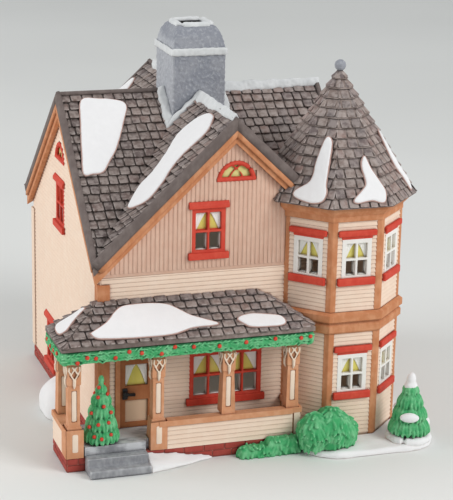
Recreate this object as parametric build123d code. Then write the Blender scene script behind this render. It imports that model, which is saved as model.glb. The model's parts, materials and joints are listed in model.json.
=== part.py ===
from build123d import *
import os
from math import cos, radians, sin, tan

# Ceramic Christmas village house: cast porcelain pieces and a lamp that clips in at the back.
# Millimetres. +X is right of the front, +Y runs to the back, +Z is up.
# The origin lies on the surface that the house stands on, below the chimney.

# How far a cutting tool passes the faces that it cuts
overrun = 4.0
# Room between a piece and the moving piece that it holds
running_gap = 0.3

# Main block
wall_half_width = 66.0
wall_half_depth = 73.0
wall_thickness = 3.5
floor_thickness = 3.0
drain_radius = 7.0
drain_setback = 28.0
brick_height = 7.0
brick_proud = 0.8
board_height = 3.3
board_lap = 0.5
gable_board_drop = 7.5
gable_board_width = 3.7
gable_groove_width = 0.8
gable_groove_depth = 0.6
gable_rail_height = 1.6
corner_board_width = 4.6
corner_board_proud = 1.0

# Cross-gable roof
verge_overhang = 4.0
eave_height = 97.0
roof_rise = 66.5
roof_thickness = 5.2
roof_courses = 20
shingle_butt = 0.7
fascia_height = 5.6
fascia_thickness = 2.6
fascia_gap = 0.2

# Chimney
chimney_half_width = 13.8
chimney_half_depth = 15.2
chimney_sink = 31.5
chimney_rise = 20.1
band_height = 4.0
band_proud = 1.0
cap_height = 9.4
cap_half_width = 11.2
cap_half_depth = 10.9
rim_height = 2.6
flue_half = 6.0
cap_bulge_share = 0.55

# Snow lying on the roofs
snow_thickness = 0.7
snow_skirt = 3.4
ridge_snow_half = 4.6

# Tower: its centre inside the right and front walls, apothem of its octagon and the heights of its storeys
tower_inset = 8.2
tower_setback = 12.5
tower_apothem = 30.2
tower_sides = 8
belt_drop = 28.3
belt_height = 11.0
belt_proud = 3.0
belt_waist_proud = 1.2
crown_rise = 17.6
crown_height = 7.9
crown_proud = 3.6
crown_neck_proud = 1.2
tower_eave_reach = 5.6
tower_roof_rise = 60.7
tower_courses = 14
tower_corner_width = 2.5
tower_corner_proud = 0.9
finial_radius = 2.8
finial_collar_radius = 2.1
finial_collar_height = 0.6
finial_neck = 0.6

# Windows
casing_width = 2.2
casing_proud = 0.9
glazing_bar = 1.1
glazing_setback = 1.4
glazing_thickness = 1.0
hood_reach = 1.6
hood_height = 3.4
hood_proud = 2.2
sill_height = 3.4
sill_proud = 2.4
front_window_x = -12.4
front_window_rise = 2.0
front_window_width = 17.2
front_window_height = 22.0
front_fan_x = 1.2
front_fan_share = 0.55
side_window_y = 7.0
side_window_drop = 2.0
side_window_width = 18.0
side_window_height = 21.0
side_fan_share = 0.46
ground_window_y = 30.0
ground_window_low = 11.0
ground_window_width = 20.0
ground_window_height = 23.0
fan_radius = 9.6
fan_frame = 1.7
lattice_bar = 0.9
porch_window_x = -2.2
porch_window_rise = 12.0
porch_window_width = 37.4
porch_window_head_drop = 13.8
tower_window_width = 15.4
tower_window_height = 19.6
tower_window_drop = 28.6
tower_low_window_drop = 30.9
tower_head_reach = 2.1
tower_head_height = 2.8
tower_head_step = 1.6
tower_head_step_reach = 0.4
tower_sill_reach = 2.0
tower_sill_height = 3.6

# Front door
door_inset = 18.4
door_width = 17.0
door_head_drop = 12.8
door_proud = 1.0
door_casing = 2.4
door_stile = 2.8
door_pane_low_share = 0.58
door_pane_share = 0.3
door_panel_low_share = 0.07
door_panel_share = 0.31
door_recess = 1.0
lock_plate_width = 2.4
lock_plate_height = 5.6
lock_plate_thickness = 0.6
lock_knob_radius = 1.5
lock_knob_reach = 1.8

# Porch
porch_width = 21.0
porch_depth = 19.6
porch_tower_reach = 27.2
porch_side_setback = 9.0
porch_floor_top = 12.0
half_wall_thickness = 3.0
half_wall_board = 2.3
rail_low = 18.8
rail_height = 2.8
rail_overhang = 1.0
post_width = 7.0
post_inset = 0.4
post_2_gap = 6.4
post_3_share = 0.516
post_panel_width = 3.2
post_panel_depth = 0.6
post_panel_gap = 2.4
pedestal_extra = 0.8
pedestal_rise = 1.0
capital_low_share = 0.63
capital_flare = 0.6
capital_share = 0.2
capital_diamond_half = 2.2
capital_piercing = 0.8
step_inset = 8.7
step_width = 30.2
step_tread = 5.9
step_count = 2
porch_eave_reach = 3.1
porch_eave_tower_reach = 21.8
porch_eave_side_reach = 2.4
porch_eave_height = 1.6
porch_ridge_share = 0.81
porch_roof_rise = 15.2
porch_ridge_tower_reach = 45.8
porch_ridge_half = 0.05
porch_courses = 6
garland_height = 7.4
garland_thickness = 4.0
garland_round = 1.7

# Plants and ground
porch_tree_inset = 9.7
porch_tree_setback = 6.6
porch_tree_radius = 9.4
porch_tree_height = 34.0
yard_pine_side = 28.2
yard_pine_ahead = 40.5
yard_pine_radius = 11.6
yard_pine_height = 33.5
pine_snow_thickness = 1.0
pine_ring_radius = 10.6
pine_ring_gap = 0.1
tree_tiers = 4
tree_trunk_radius = 2.4
tree_trunk_height = 2.0
tree_undercut_share = 0.62
tree_lip_share = 0.18
bush_side = 15.8
bush_ahead = 40.0
bush_foot_share = 0.8
bush_waist_share = 0.35
hedge_depth = 7.2
drift_length = 34.0
drift_depth = 11.6
drift_height = 6.9
drift_lip = 2.2
bank_y = -15.0
bank_length = 38.0
bank_depth = 16.0
bank_height = 17.0
yard_side = 42.2
yard_ahead = 51.5
yard_behind = 36.5
yard_height = 3.2
yard_round = 1.6
yard_corner = 17.0
mound_round_share = 0.72
mound_corner_share = 0.48
mound_edge_share = 0.4

# Lamp that clips into the round hole in the back wall
lamp_height = 40.0
lamp_hole_radius = 16.5
lamp_flange_radius = 20.5
lamp_flange_thickness = 2.6
lamp_barrel_radius = 11.0
lamp_barrel_length = 25.0
socket_radius = 6.6
socket_depth = 14.0
inlet_radius = 3.2
clip_thickness = 0.8
clip_width = 7.0
clip_collar_height = 3.0
clip_collar_setback = 15.0
clip_bend_setback = 7.0
clip_tip_setback = 1.2
bulb_radius = 10.4
bulb_widest_share = 0.5
bulb_length = 36.0
bulb_neck_radius = 6.0
bulb_cap_radius = 6.0
bulb_cap_length = 12.0

# Worked out from the sizes above
tower_x = wall_half_width - tower_inset
tower_y = tower_setback - wall_half_depth
door_x = door_inset - wall_half_width
porch_left = -wall_half_width - porch_width
porch_right = tower_x - porch_tower_reach
porch_front = -wall_half_depth - porch_depth
porch_side_back = porch_side_setback - wall_half_depth
porch_eave_right = tower_x - porch_eave_tower_reach
porch_eave_side_back = porch_side_back + porch_eave_side_reach
porch_ridge_right = tower_x - porch_ridge_tower_reach
step_left = porch_left + step_inset
step_right = step_left + step_width
porch_tree_x = step_left + porch_tree_inset
porch_tree_y = porch_front + porch_tree_setback
yard_pine_x = tower_x + yard_pine_side
yard_pine_y = tower_y - yard_pine_ahead
bush_x = tower_x - bush_side
bush_y = tower_y - bush_ahead
yard_left = porch_right
yard_right = tower_x + yard_side
yard_front = tower_y - yard_ahead
yard_back = tower_y + yard_behind
roof_half_width = wall_half_width + verge_overhang
roof_half_depth = wall_half_depth + verge_overhang
ridge_height = eave_height + roof_rise
gable_board_height = eave_height - gable_board_drop
chimney_foot = ridge_height - chimney_sink
band_low = ridge_height + chimney_rise
band_high = band_low + band_height
cap_top = band_high + cap_height
half_face_angle = 180 / tower_sides
belt_high = eave_height - belt_drop
belt_low = belt_high - belt_height
crown_low = eave_height + crown_rise
crown_high = crown_low + crown_height
tower_peak = crown_high + tower_roof_rise
tower_window_upper = crown_low - tower_window_drop
tower_window_lower = belt_low - tower_low_window_drop
tower_eave_apothem = tower_apothem + tower_eave_reach
snow_lift = shingle_butt + snow_thickness
front_window_low = eave_height + front_window_rise
front_fan_low = eave_height + roof_rise * front_fan_share
side_window_low = eave_height - side_window_drop
side_fan_low = eave_height + roof_rise * side_fan_share
porch_ridge_height = eave_height * porch_ridge_share
porch_eave_low = porch_ridge_height - porch_roof_rise - porch_eave_height
porch_eave_left = porch_left - porch_eave_reach
porch_eave_front = porch_front - porch_eave_reach
post_front_y = porch_front + post_inset + post_width / 2
post_1_x = porch_left + post_inset + post_width / 2
post_4_x = porch_right - post_inset - post_width / 2
post_2_x = step_right + post_2_gap
post_3_x = post_2_x + (post_4_x - post_2_x) * post_3_share
post_5_y = porch_side_back - post_inset - post_width / 2
rail_top = rail_low + rail_height
post_height = porch_eave_low - porch_floor_top
pedestal_top = rail_top + pedestal_rise
capital_low = porch_floor_top + post_height * capital_low_share
capital_height = post_height * capital_share
post_panel_low = pedestal_top + post_panel_gap
post_panel_high = capital_low - post_panel_gap
porch_window_low = porch_floor_top + porch_window_rise
porch_window_height = porch_eave_low - porch_window_head_drop - porch_window_low
door_height = post_height - door_head_drop
door_pane_low = door_height * door_pane_low_share
door_pane_height = door_height * door_pane_share
door_panel_low = door_height * door_panel_low_share
door_panel_height = door_height * door_panel_share
step_rise = porch_floor_top / (step_count + 1)

# Faces of the tower are counted from the right-hand one towards the back: front-left, front,
# front-right, right and back-right stand clear of the house.
tower_upper_faces = (-3, -2, -1, 0, 1)
tower_lower_faces = (-2, -1, 0)
tower_outer_corners = (-4, -3, -2, -1, 0, 1)

# Snow patches on the main roof: across the gable as a share of its half span, out from the chimney as a share
# of the run to the verge
roof_patch_shares = (
    ("left", ((0.05, 0.84), (0.04, 0.65), (0.09, 0.52), (0.26, 0.62), (0.38, 0.70), (0.47, 0.80),
              (0.46, 0.92), (0.24, 0.88))),
    ("front", ((-0.06, 0.64), (-0.14, 0.38), (-0.38, 0.54), (-0.63, 0.60), (-0.68, 0.72), (-0.54, 0.83),
               (-0.40, 0.69), (-0.25, 0.72), (-0.13, 0.77))),
    ("back", ((-0.10, 0.50), (-0.34, 0.58), (-0.48, 0.76), (-0.34, 0.84), (-0.14, 0.74))),
    ("right", ((0.10, 0.60), (0.36, 0.62), (0.56, 0.80), (0.36, 0.90), (0.14, 0.84))),
)

# Snow patches on the tower roof: across the face as a share of its half width, up the roof as a share of
# its height
tower_patch_shares = (
    (-3, ((0.22, 0.54), (0.06, 0.36), (-0.24, 0.17), (-0.38, 0.08), (-0.10, 0.045), (0.36, 0.06),
          (0.50, 0.13), (0.38, 0.32))),
    (-2, ((0.34, 0.40), (0.56, 0.27), (0.82, 0.13), (0.78, 0.05), (0.36, 0.045), (-0.10, 0.05),
          (0.12, 0.12), (0.24, 0.27))),
    (0, ((-0.10, 0.58), (0.10, 0.46), (0.18, 0.24), (0.00, 0.10), (-0.36, 0.07), (-0.48, 0.16),
         (-0.32, 0.36))),
)

# Snow patches on the porch roof: along the front eave and back from it, as shares of its length and of the
# run to the wall
porch_patch_shares = (
    ((0.13, 0.30), (0.23, 0.70), (0.34, 0.85), (0.42, 0.83), (0.48, 0.64), (0.62, 0.29), (0.51, 0.20),
     (0.39, 0.14), (0.23, 0.15)),
    ((0.14, 1.10), (0.05, 1.30), (0.02, 1.00), (0.04, 0.70), (0.08, 0.84)),
    ((0.70, 0.31), (0.75, 0.42), (0.86, 0.39), (0.89, 0.22), (0.83, 0.14), (0.76, 0.18)),
)

# Domes of the yard bushes: offset along the front, radius and height
bush_domes = ((-6.4, 8.2, 18.4), (2.0, 9.6, 19.8), (7.6, 8.0, 15.6))
# Humps of the hedge: middle along the front, length and height
hedge_humps = ((6.5, 18.0, 5.4), (21.2, 19.0, 8.4))
# Sections of the drift beside the steps: share of its length, then of its depth, height and lip
drift_sections = ((0.0, 1.0, 1.0, 1.0), (0.45, 0.72, 0.72, 0.8), (1.0, 0.12, 0.2, 0.3))

# Each side of the house: its plane, half the width of its wall, half the span and the run of its roof.
# In a side's plane x runs to the right as seen from outside, y runs up and z points outwards.
front_plane = Plane(origin=(0, -wall_half_depth, 0), x_dir=(1, 0, 0), z_dir=(0, -1, 0))
back_plane = Plane(origin=(0, wall_half_depth, 0), x_dir=(-1, 0, 0), z_dir=(0, 1, 0))
left_plane = Plane(origin=(-wall_half_width, 0, 0), x_dir=(0, -1, 0), z_dir=(-1, 0, 0))
right_plane = Plane(origin=(wall_half_width, 0, 0), x_dir=(0, 1, 0), z_dir=(1, 0, 0))
side_planes = {"front": front_plane, "back": back_plane, "left": left_plane, "right": right_plane}
end_half = wall_half_depth - wall_thickness
side_halves = {"front": wall_half_width, "back": wall_half_width, "left": end_half, "right": end_half}
side_spans = {
    "front": roof_half_width,
    "back": roof_half_width,
    "left": roof_half_depth,
    "right": roof_half_depth,
}
side_runs = {
    "front": wall_half_depth,
    "back": wall_half_depth,
    "left": wall_half_width,
    "right": wall_half_width,
}
ground = Plane.XY


# Basic solids


def block(plane, low, high):
    """Rectangular block between two corners given in a plane's own axes."""
    size = [end - start for start, end in zip(low, high)]
    return plane * Pos(*low) * Box(*size, align=(Align.MIN, Align.MIN, Align.MIN))


def strip(plane, outline, low, high):
    """Straight-sided outline in a plane, made solid between two distances from it."""
    face = make_face(Polyline(*outline, close=True))
    return plane * Pos(0, 0, low) * extrude(face, high - low)


def rounded_strip(plane, points, low, high):
    """Smooth closed outline through the points, made solid between two distances from its plane."""
    face = make_face(Spline(*points, periodic=True))
    return plane * Pos(0, 0, low) * extrude(face, high - low)


def across(plane, outline, low, high):
    """Outline in a plane's (z, y) axes, made solid along the plane's x axis."""
    turned = Plane(origin=plane.origin, x_dir=plane.z_dir, z_dir=-plane.x_dir)
    return strip(turned, outline, -high, -low)


def octagon(apothem, height):
    """Level octagon on the tower's axis."""
    shape = RegularPolygon(apothem, tower_sides, major_radius=False, rotation=half_face_angle)
    return Pos(tower_x, tower_y, height) * shape


def octagon_stack(rings):
    """Solid through octagons given from the bottom up as (apothem, height) pairs."""
    solid = Part()
    for (low_apothem, low), (high_apothem, high) in zip(rings, rings[1:]):
        if high > low:
            solid += loft([octagon(low_apothem, low), octagon(high_apothem, high)], ruled=True)
    return solid


def turned(points, x, y):
    """Body of revolution about a vertical axis, from (radius, height) points closed along the axis."""
    outline = make_face(Polyline(*[(radius, height) for radius, height in points], close=True))
    return Pos(x, y, 0) * revolve(Plane.XZ * outline, Axis.Z)


def mound(x, y, length, depth, low, height):
    """Smooth oval heap, rounded over its top edge."""
    narrow = min(length, depth)
    outline = RectangleRounded(length, depth, narrow * mound_corner_share)
    heap = Pos(x, y, low) * extrude(outline, height)
    rounding = min(height * mound_round_share, narrow * mound_edge_share)
    return fillet(heap.edges().group_by(Axis.Z)[-1], rounding)


def dome(x, y, radius, low, height):
    """Round bush with a drawn-in foot."""
    waist = height * bush_waist_share
    shoulder = radius * cos(radians(half_face_angle)) * bush_foot_share
    arc = ThreePointArc((0, height), (shoulder, height * bush_foot_share), (radius, waist))
    low_side = Polyline((radius, waist), (radius * bush_foot_share, 0), (0, 0), (0, height))
    outline = make_face([arc, low_side])
    return Pos(x, y, low) * revolve(Plane.XZ * outline, Axis.Z)


# Roof courses


def lapped_slope(start, end, low, high, courses, butt):
    """Outline points up a slope of lapped courses, each with a raised lower edge."""
    points = []
    for course in range(courses):
        share = course / courses
        next_share = (course + 1) / courses
        points.append((start + (end - start) * share, low + (high - low) * share + butt))
        points.append((start + (end - start) * next_share, low + (high - low) * next_share))
    return points


def roof_underside(side, across_wall):
    """Height of the roof's underside at a distance from the middle of a wall."""
    return eave_height - roof_thickness + roof_rise * (1 - abs(across_wall) / side_spans[side])


def wing_wedge(side):
    """Upright wedge of the roof that belongs to one gable, between its two valleys."""
    span = side_spans[side]
    run = side_runs[side]
    turned_plane = Plane(origin=side_planes[side].origin, x_dir=side_planes[side].x_dir, z_dir=(0, 0, 1))
    outline = [(-span, -verge_overhang), (span, -verge_overhang), (0, run)]
    return strip(turned_plane, outline, 0, ridge_height + overrun)


def roof_wing(side):
    """One gable's two slopes of lapped shingle courses."""
    span = side_spans[side]
    rising = lapped_slope(-span, 0, eave_height, ridge_height, roof_courses, shingle_butt)
    falling = [(-x, y) for x, y in reversed(rising)]
    under = [(span, eave_height - roof_thickness), (0, ridge_height - roof_thickness),
             (-span, eave_height - roof_thickness)]
    sheet = strip(side_planes[side], rising[:-1] + [(0, ridge_height)] + falling[1:] + under,
                  -side_runs[side], verge_overhang)
    return sheet & wing_wedge(side)


def snow_sheet(side):
    """Smooth sheet over one gable's slopes, from which snow patches are cut."""
    span = side_spans[side]
    low = eave_height - shingle_butt
    high = ridge_height - shingle_butt
    outline = [(-span, low), (-span, eave_height + snow_lift), (0, ridge_height + snow_lift),
               (span, eave_height + snow_lift), (span, low), (0, high)]
    sheet = strip(side_planes[side], outline, -side_runs[side], verge_overhang)
    return sheet & wing_wedge(side)


# Walls


def boarded_slab(plane, half_width, low, high, thickness, exposure):
    """Slab faced with clapboards, each leaning out at its lower edge."""
    boards = round((high - low) / exposure)
    outline = [(-thickness, low)]
    outline += [(depth, height) for height, depth in lapped_slope(low, high, 0, 0, boards, board_lap)]
    outline += [(-thickness, high)]
    return across(plane, outline, -half_width, half_width)


def gable_outline(side):
    """Outline of a gabled wall up to the roof's underside."""
    half = side_halves[side]
    return [(-half, 0), (half, 0), (half, roof_underside(side, half)), (0, roof_underside(side, 0)),
            (-half, roof_underside(side, half))]


def gabled_wall(side):
    """Wall with a brick foot and clapboards, and upright boards in the front gable."""
    plane = side_planes[side]
    half = side_halves[side]
    foot = block(plane, (-half, 0, -wall_thickness), (half, brick_height, brick_proud))
    if side == "front":
        low = block(plane, (-half, 0, -wall_thickness), (half, brick_height, 0))
        boards = boarded_slab(plane, half, brick_height, gable_board_height, wall_thickness, board_height)
        gable = block(plane, (-half, gable_board_height, -wall_thickness), (half, ridge_height, board_lap))
        grooves = upright_grooves(plane, half)
        wall = low + boards + (gable - grooves)
    else:
        top = roof_underside(side, 0)
        wall = foot + boarded_slab(plane, half, brick_height, top, wall_thickness, board_height)
    limit = strip(plane, gable_outline(side), -wall_thickness - overrun, overrun)
    return wall & limit


def upright_grooves(plane, half):
    """Grooves between the upright boards of the front gable, above a plain rail."""
    count = int(half / gable_board_width)
    low = gable_board_height + gable_rail_height
    grooves = []
    for index in range(-count, count + 1):
        left = index * gable_board_width - gable_groove_width / 2
        corner = (left, low, board_lap - gable_groove_depth)
        grooves.append(block(plane, corner, (left + gable_groove_width, ridge_height, overrun)))
    return grooves


def room_space():
    """Space inside the walls, up to the roof's underside."""
    inner_half = wall_half_width - wall_thickness
    space = Part()
    for side, half, depth in (("front", inner_half, end_half), ("left", end_half, inner_half)):
        outline = [(-half, floor_thickness), (half, floor_thickness), (half, roof_underside(side, half)),
                   (0, roof_underside(side, 0)), (-half, roof_underside(side, half))]
        run = side_runs[side]
        space += strip(side_planes[side], outline, -run - depth, depth - run)
    return space


def corner_board(x_sign, y_sign, top):
    """Angle-shaped board over an outer corner of the house."""
    reach = corner_board_width
    proud = corner_board_proud + board_lap
    outer_x = x_sign * (wall_half_width + proud)
    outer_y = y_sign * (wall_half_depth + proud)
    inner_x = x_sign * (wall_half_width - reach)
    inner_y = y_sign * (wall_half_depth - reach)
    face_x = x_sign * wall_half_width
    face_y = y_sign * wall_half_depth
    outline = [(outer_x, outer_y), (outer_x, inner_y), (face_x, inner_y), (face_x, face_y), (inner_x, face_y),
               (inner_x, outer_y)]
    return strip(ground, outline, brick_height, top)


def gable_fascia(side):
    """Board under the verge of a gable, following the roof."""
    half = side_spans[side]
    foot = roof_underside(side, half)
    top = [(-half, foot), (0, roof_underside(side, 0)), (half, foot)]
    low = [(x, y - fascia_height) for x, y in reversed(top)]
    near = board_lap + fascia_gap
    return strip(side_planes[side], top + low, near, near + fascia_thickness) & wing_wedge(side)


# Windows and door


def pane_holes(plane, left, low, width, height, leaves):
    """Open lower panes and blind recesses for the upper panes of two-over-two sashes."""
    inner_left = left + casing_width
    inner_width = width - 2 * casing_width
    inner_low = low + casing_width / 2
    pane_height = (height - casing_width * 3 / 2 - glazing_bar) / 2
    leaf_width = (inner_width - (leaves - 1) * casing_width) / leaves
    pane_width = (leaf_width - glazing_bar) / 2
    holes = []
    for leaf in range(leaves):
        for column in range(2):
            pane_left = inner_left + leaf * (leaf_width + casing_width) + column * (pane_width + glazing_bar)
            pane_right = pane_left + pane_width
            upper_low = inner_low + pane_height + glazing_bar
            holes.append(block(plane, (pane_left, inner_low, -wall_thickness - overrun),
                               (pane_right, inner_low + pane_height, overrun)))
            holes.append(block(plane, (pane_left, upper_low, -glazing_setback),
                               (pane_right, upper_low + pane_height, overrun)))
            holes.append(block(plane, (pane_left, upper_low, -wall_thickness - overrun),
                               (pane_right, upper_low + pane_height, -glazing_setback - glazing_thickness)))
    return holes


def sash(plane, centre, low, width, height, leaves):
    """Casing with glazing bars, and the block that it fills in its wall."""
    left = centre - width / 2
    filled = block(plane, (left, low, -wall_thickness), (left + width, low + height, casing_proud))
    return filled - pane_holes(plane, left, low, width, height, leaves), filled


def trimmed_window(plane, centre, low, width, height, leaves):
    """Window with its hood and sill in one casting, and the block that it fills in its wall."""
    frame, filled = sash(plane, centre, low, width, height, leaves)
    left = centre - width / 2 - hood_reach
    right = centre + width / 2 + hood_reach
    top = low + height
    hood_outline = [(0, top), (hood_proud, top), (hood_proud, top + hood_height / 2),
                    (hood_proud / 2, top + hood_height), (0, top + hood_height)]
    hood = across(plane, hood_outline, left, right)
    sill = block(plane, (left, low - sill_height, 0), (right, low, sill_proud))
    return frame + hood + sill, filled + hood + sill


def fan_window(plane, centre, low):
    """Half-round window with a diamond lattice, and the block that it fills in its wall."""
    def half_disc(radius, base):
        arc = ThreePointArc((-radius, base), (0, radius), (radius, base))
        return make_face([arc, Line((radius, base), (-radius, base))])
    place = plane * Pos(centre, low, 0)
    filled = extrude(half_disc(fan_radius, 0), wall_thickness + casing_proud)
    filled = place * Pos(0, 0, -wall_thickness) * filled
    glass = half_disc(fan_radius - fan_frame, fan_frame)
    recess = place * Pos(0, 0, -glazing_setback) * extrude(glass, glazing_setback + overrun)
    pitch = (fan_radius - fan_frame) / 2
    bars = []
    for index in range(-2, 3):
        for angle in (45, -45):
            bar = Box(lattice_bar, 2 * fan_radius * 2, glazing_setback,
                      align=(Align.CENTER, Align.CENTER, Align.MAX))
            bars.append(place * Pos(index * pitch, fan_frame, 0) * Rot(0, 0, angle) * bar)
    lattice = (Part() + bars) & recess
    return (filled - recess) + lattice, filled


def door_pieces():
    """Panelled door leaf, its casing, its pane, its lock, and the block that they fill in the wall."""
    plane = front_plane
    left = door_x - door_width / 2
    low = porch_floor_top
    outer = block(plane, (left - door_casing, low, -wall_thickness),
                  (left + door_width + door_casing, low + door_height + door_casing, door_proud + board_lap))
    opening = block(plane, (left, low, -wall_thickness), (left + door_width, low + door_height, overrun))
    leaf = block(plane, (left, low, -wall_thickness), (left + door_width, low + door_height, board_lap))
    inner_left = left + door_stile
    inner_right = left + door_width - door_stile
    pane_low = low + door_pane_low
    panel_low = low + door_panel_low
    light = block(plane, (inner_left, pane_low, -wall_thickness - overrun),
                  (inner_right, pane_low + door_pane_height, overrun))
    pane = block(plane, (inner_left, pane_low, -glazing_setback - glazing_thickness),
                 (inner_right, pane_low + door_pane_height, -glazing_setback))
    recess = block(plane, (inner_left, panel_low, board_lap - door_recess),
                   (inner_right, panel_low + door_panel_height, overrun))
    rail_middle = (panel_low + door_panel_height + pane_low) / 2
    plate_left = left + door_stile / 2
    plate = block(plane, (plate_left, rail_middle - lock_plate_height / 2, board_lap),
                  (plate_left + lock_plate_width, rail_middle + lock_plate_height / 2,
                   board_lap + lock_plate_thickness))
    knob_place = plane * Pos(plate_left + lock_plate_width / 2, rail_middle, board_lap + lock_plate_thickness)
    knob = knob_place * extrude(Circle(lock_knob_radius), lock_knob_reach)
    knob = fillet(knob.edges().sort_by(Axis.Y)[:1], lock_knob_radius / 2)
    return leaf - light - recess, outer - opening, pane, plate + knob, outer


# Tower


def tower_boards(low, high):
    """Octagonal storey faced with clapboards."""
    boards = round((high - low) / board_height)
    step = (high - low) / boards
    rings = []
    for index in range(boards):
        rings.append((tower_apothem + board_lap, low + index * step))
        rings.append((tower_apothem, low + (index + 1) * step))
    return octagon_stack(rings)


def tower_plane(face):
    """Plane of a tower face, counted from the right-hand face towards the back."""
    angle = radians(face * 2 * half_face_angle)
    normal = (cos(angle), sin(angle), 0)
    centre = (tower_x + tower_apothem * normal[0], tower_y + tower_apothem * normal[1], 0)
    return Plane(origin=centre, x_dir=(-normal[1], normal[0], 0), z_dir=normal)


def tower_corner_boards(low, high):
    """Boards over the tower's outer corners."""
    outside = tower_apothem + tower_corner_proud
    inside = tower_apothem - tower_corner_proud
    ring = octagon_stack([(outside, low), (outside, high)]) - octagon_stack([(inside, low), (inside, high)])
    corner_radius = tower_apothem / cos(radians(half_face_angle))
    boards = []
    for corner in tower_outer_corners:
        angle = radians((2 * corner + 1) * half_face_angle)
        place = Pos(tower_x + corner_radius * cos(angle), tower_y + corner_radius * sin(angle), low)
        post = extrude(Circle(tower_corner_width), high - low)
        boards.append(ring & (place * post))
    return boards


def tower_roof_rings(lift):
    """Octagons of the tower roof's lapped courses."""
    span = tower_peak - crown_high
    rings = []
    for course in range(tower_courses):
        share = course / tower_courses
        next_share = (course + 1) / tower_courses
        rings.append((tower_eave_apothem * (1 - share) + lift, crown_high + span * share))
        rings.append((tower_eave_apothem * (1 - next_share) + finial_neck, crown_high + span * next_share))
    return rings


def tower_window_head(plane, low):
    """Flat head of a tower window, stepped in below."""
    half = tower_window_width / 2
    step_top = low + tower_window_height + tower_head_step
    step = block(plane, (-half - tower_head_step_reach, low + tower_window_height, 0),
                 (half + tower_head_step_reach, step_top, casing_proud))
    bar = block(plane, (-half - tower_head_reach, step_top, 0),
                (half + tower_head_reach, step_top + tower_head_height, hood_proud))
    return step + bar


def tower_window_sill(plane, low):
    """Sill of a tower window."""
    half = tower_window_width / 2 + tower_sill_reach
    return block(plane, (-half, low - tower_sill_height, 0), (half, low, sill_proud))


# Chimney


def chimney_stack():
    """Shaft, band and bell-shaped cap round one straight flue."""
    shaft = block(ground, (-chimney_half_width, -chimney_half_depth, chimney_foot),
                  (chimney_half_width, chimney_half_depth, band_low))
    bulge_width = cap_half_width + (chimney_half_width - cap_half_width) * cap_bulge_share
    bulge_depth = cap_half_depth + (chimney_half_depth - cap_half_depth) * cap_bulge_share
    levels = [
        (chimney_half_width, chimney_half_depth, band_high),
        (bulge_width + band_proud, bulge_depth + band_proud, band_high + cap_height * cap_bulge_share),
        (cap_half_width, cap_half_depth, cap_top),
        (flue_half + band_proud, flue_half + band_proud, cap_top + rim_height),
    ]
    cap = Part()
    for (width, depth, low), (next_width, next_depth, high) in zip(levels, levels[1:]):
        sections = [Pos(0, 0, low) * Rectangle(2 * width, 2 * depth),
                    Pos(0, 0, high) * Rectangle(2 * next_width, 2 * next_depth)]
        cap += loft(sections, ruled=True)
    core = block(ground, (-chimney_half_width, -chimney_half_depth, band_low),
                 (chimney_half_width, chimney_half_depth, band_high))
    flue = block(ground, (-flue_half, -flue_half, chimney_foot - overrun),
                 (flue_half, flue_half, cap_top + rim_height + overrun))
    return shaft + core + cap - flue


def chimney_band():
    """Snow-covered band round the chimney below its cap."""
    outer = block(ground, (-chimney_half_width - band_proud, -chimney_half_depth - band_proud, band_low),
                  (chimney_half_width + band_proud, chimney_half_depth + band_proud, band_high))
    outer = fillet(outer.edges(), band_proud)
    core = block(ground, (-chimney_half_width, -chimney_half_depth, band_low - overrun),
                 (chimney_half_width, chimney_half_depth, band_high + overrun))
    return outer - core


# Porch


def hip_roof(butt, lift):
    """Porch roof hipped at both ends, its courses level all round."""
    low = porch_eave_low + porch_eave_height
    courses = porch_courses if butt else 1

    def profile(start, first_top, second_top, end):
        rising = lapped_slope(start, first_top, low + lift, porch_ridge_height + lift, courses, butt)
        falling = lapped_slope(end, second_top, low + lift, porch_ridge_height + lift, courses, butt)
        return [(start, porch_eave_low)] + rising + falling[::-1] + [(end, porch_eave_low)]

    length_outline = profile(porch_eave_left, -wall_half_width, porch_ridge_right, porch_eave_right)
    depth_outline = profile(porch_eave_front, -wall_half_depth - porch_ridge_half,
                            -wall_half_depth + porch_ridge_half, porch_eave_side_back)
    long_way = Plane(origin=(0, 0, 0), x_dir=(1, 0, 0), z_dir=(0, -1, 0))
    short_way = Plane(origin=(0, 0, 0), x_dir=(0, 1, 0), z_dir=(1, 0, 0))
    length_solid = strip(long_way, length_outline, -porch_eave_side_back, -porch_eave_front)
    depth_solid = strip(short_way, depth_outline, porch_eave_left, porch_eave_right)
    return length_solid & depth_solid


def porch_post(x, y, foot, pedestal):
    """Square post with a sunk front panel and a flared, pierced capital, and a pedestal where it has one."""
    half = post_width / 2
    shaft = block(ground, (x - half, y - half, foot), (x + half, y + half, porch_eave_low))
    panel_half = post_panel_width / 2
    shaft -= block(ground, (x - panel_half, y - half - overrun, post_panel_low),
                   (x + panel_half, y - half + post_panel_depth, post_panel_high))
    flare = half + capital_flare
    flare_top = capital_low + capital_flare
    bell = loft([Pos(x, y, capital_low) * Rectangle(post_width, post_width),
                 Pos(x, y, flare_top) * Rectangle(2 * flare, 2 * flare)], ruled=True)
    head = block(ground, (x - flare, y - flare, flare_top),
                 (x + flare, y + flare, capital_low + capital_height))
    diamond = Rot(0, 0, 45) * Rectangle(2 * capital_diamond_half, 2 * capital_diamond_half)
    middle = (flare_top + capital_low + capital_height) / 2
    cuts = []
    for normal in ((0, -1, 0), (-1, 0, 0), (1, 0, 0)):
        centre = (x + normal[0] * flare, y + normal[1] * flare, middle)
        cuts.append(Plane(origin=centre, z_dir=normal) * extrude(diamond, -capital_piercing))
    post = shaft + bell + head - cuts
    if pedestal:
        reach = half + pedestal_extra
        base = block(ground, (x - reach, y - reach, foot), (x + reach, y + reach, pedestal_top))
        post += base
    return post


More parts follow.
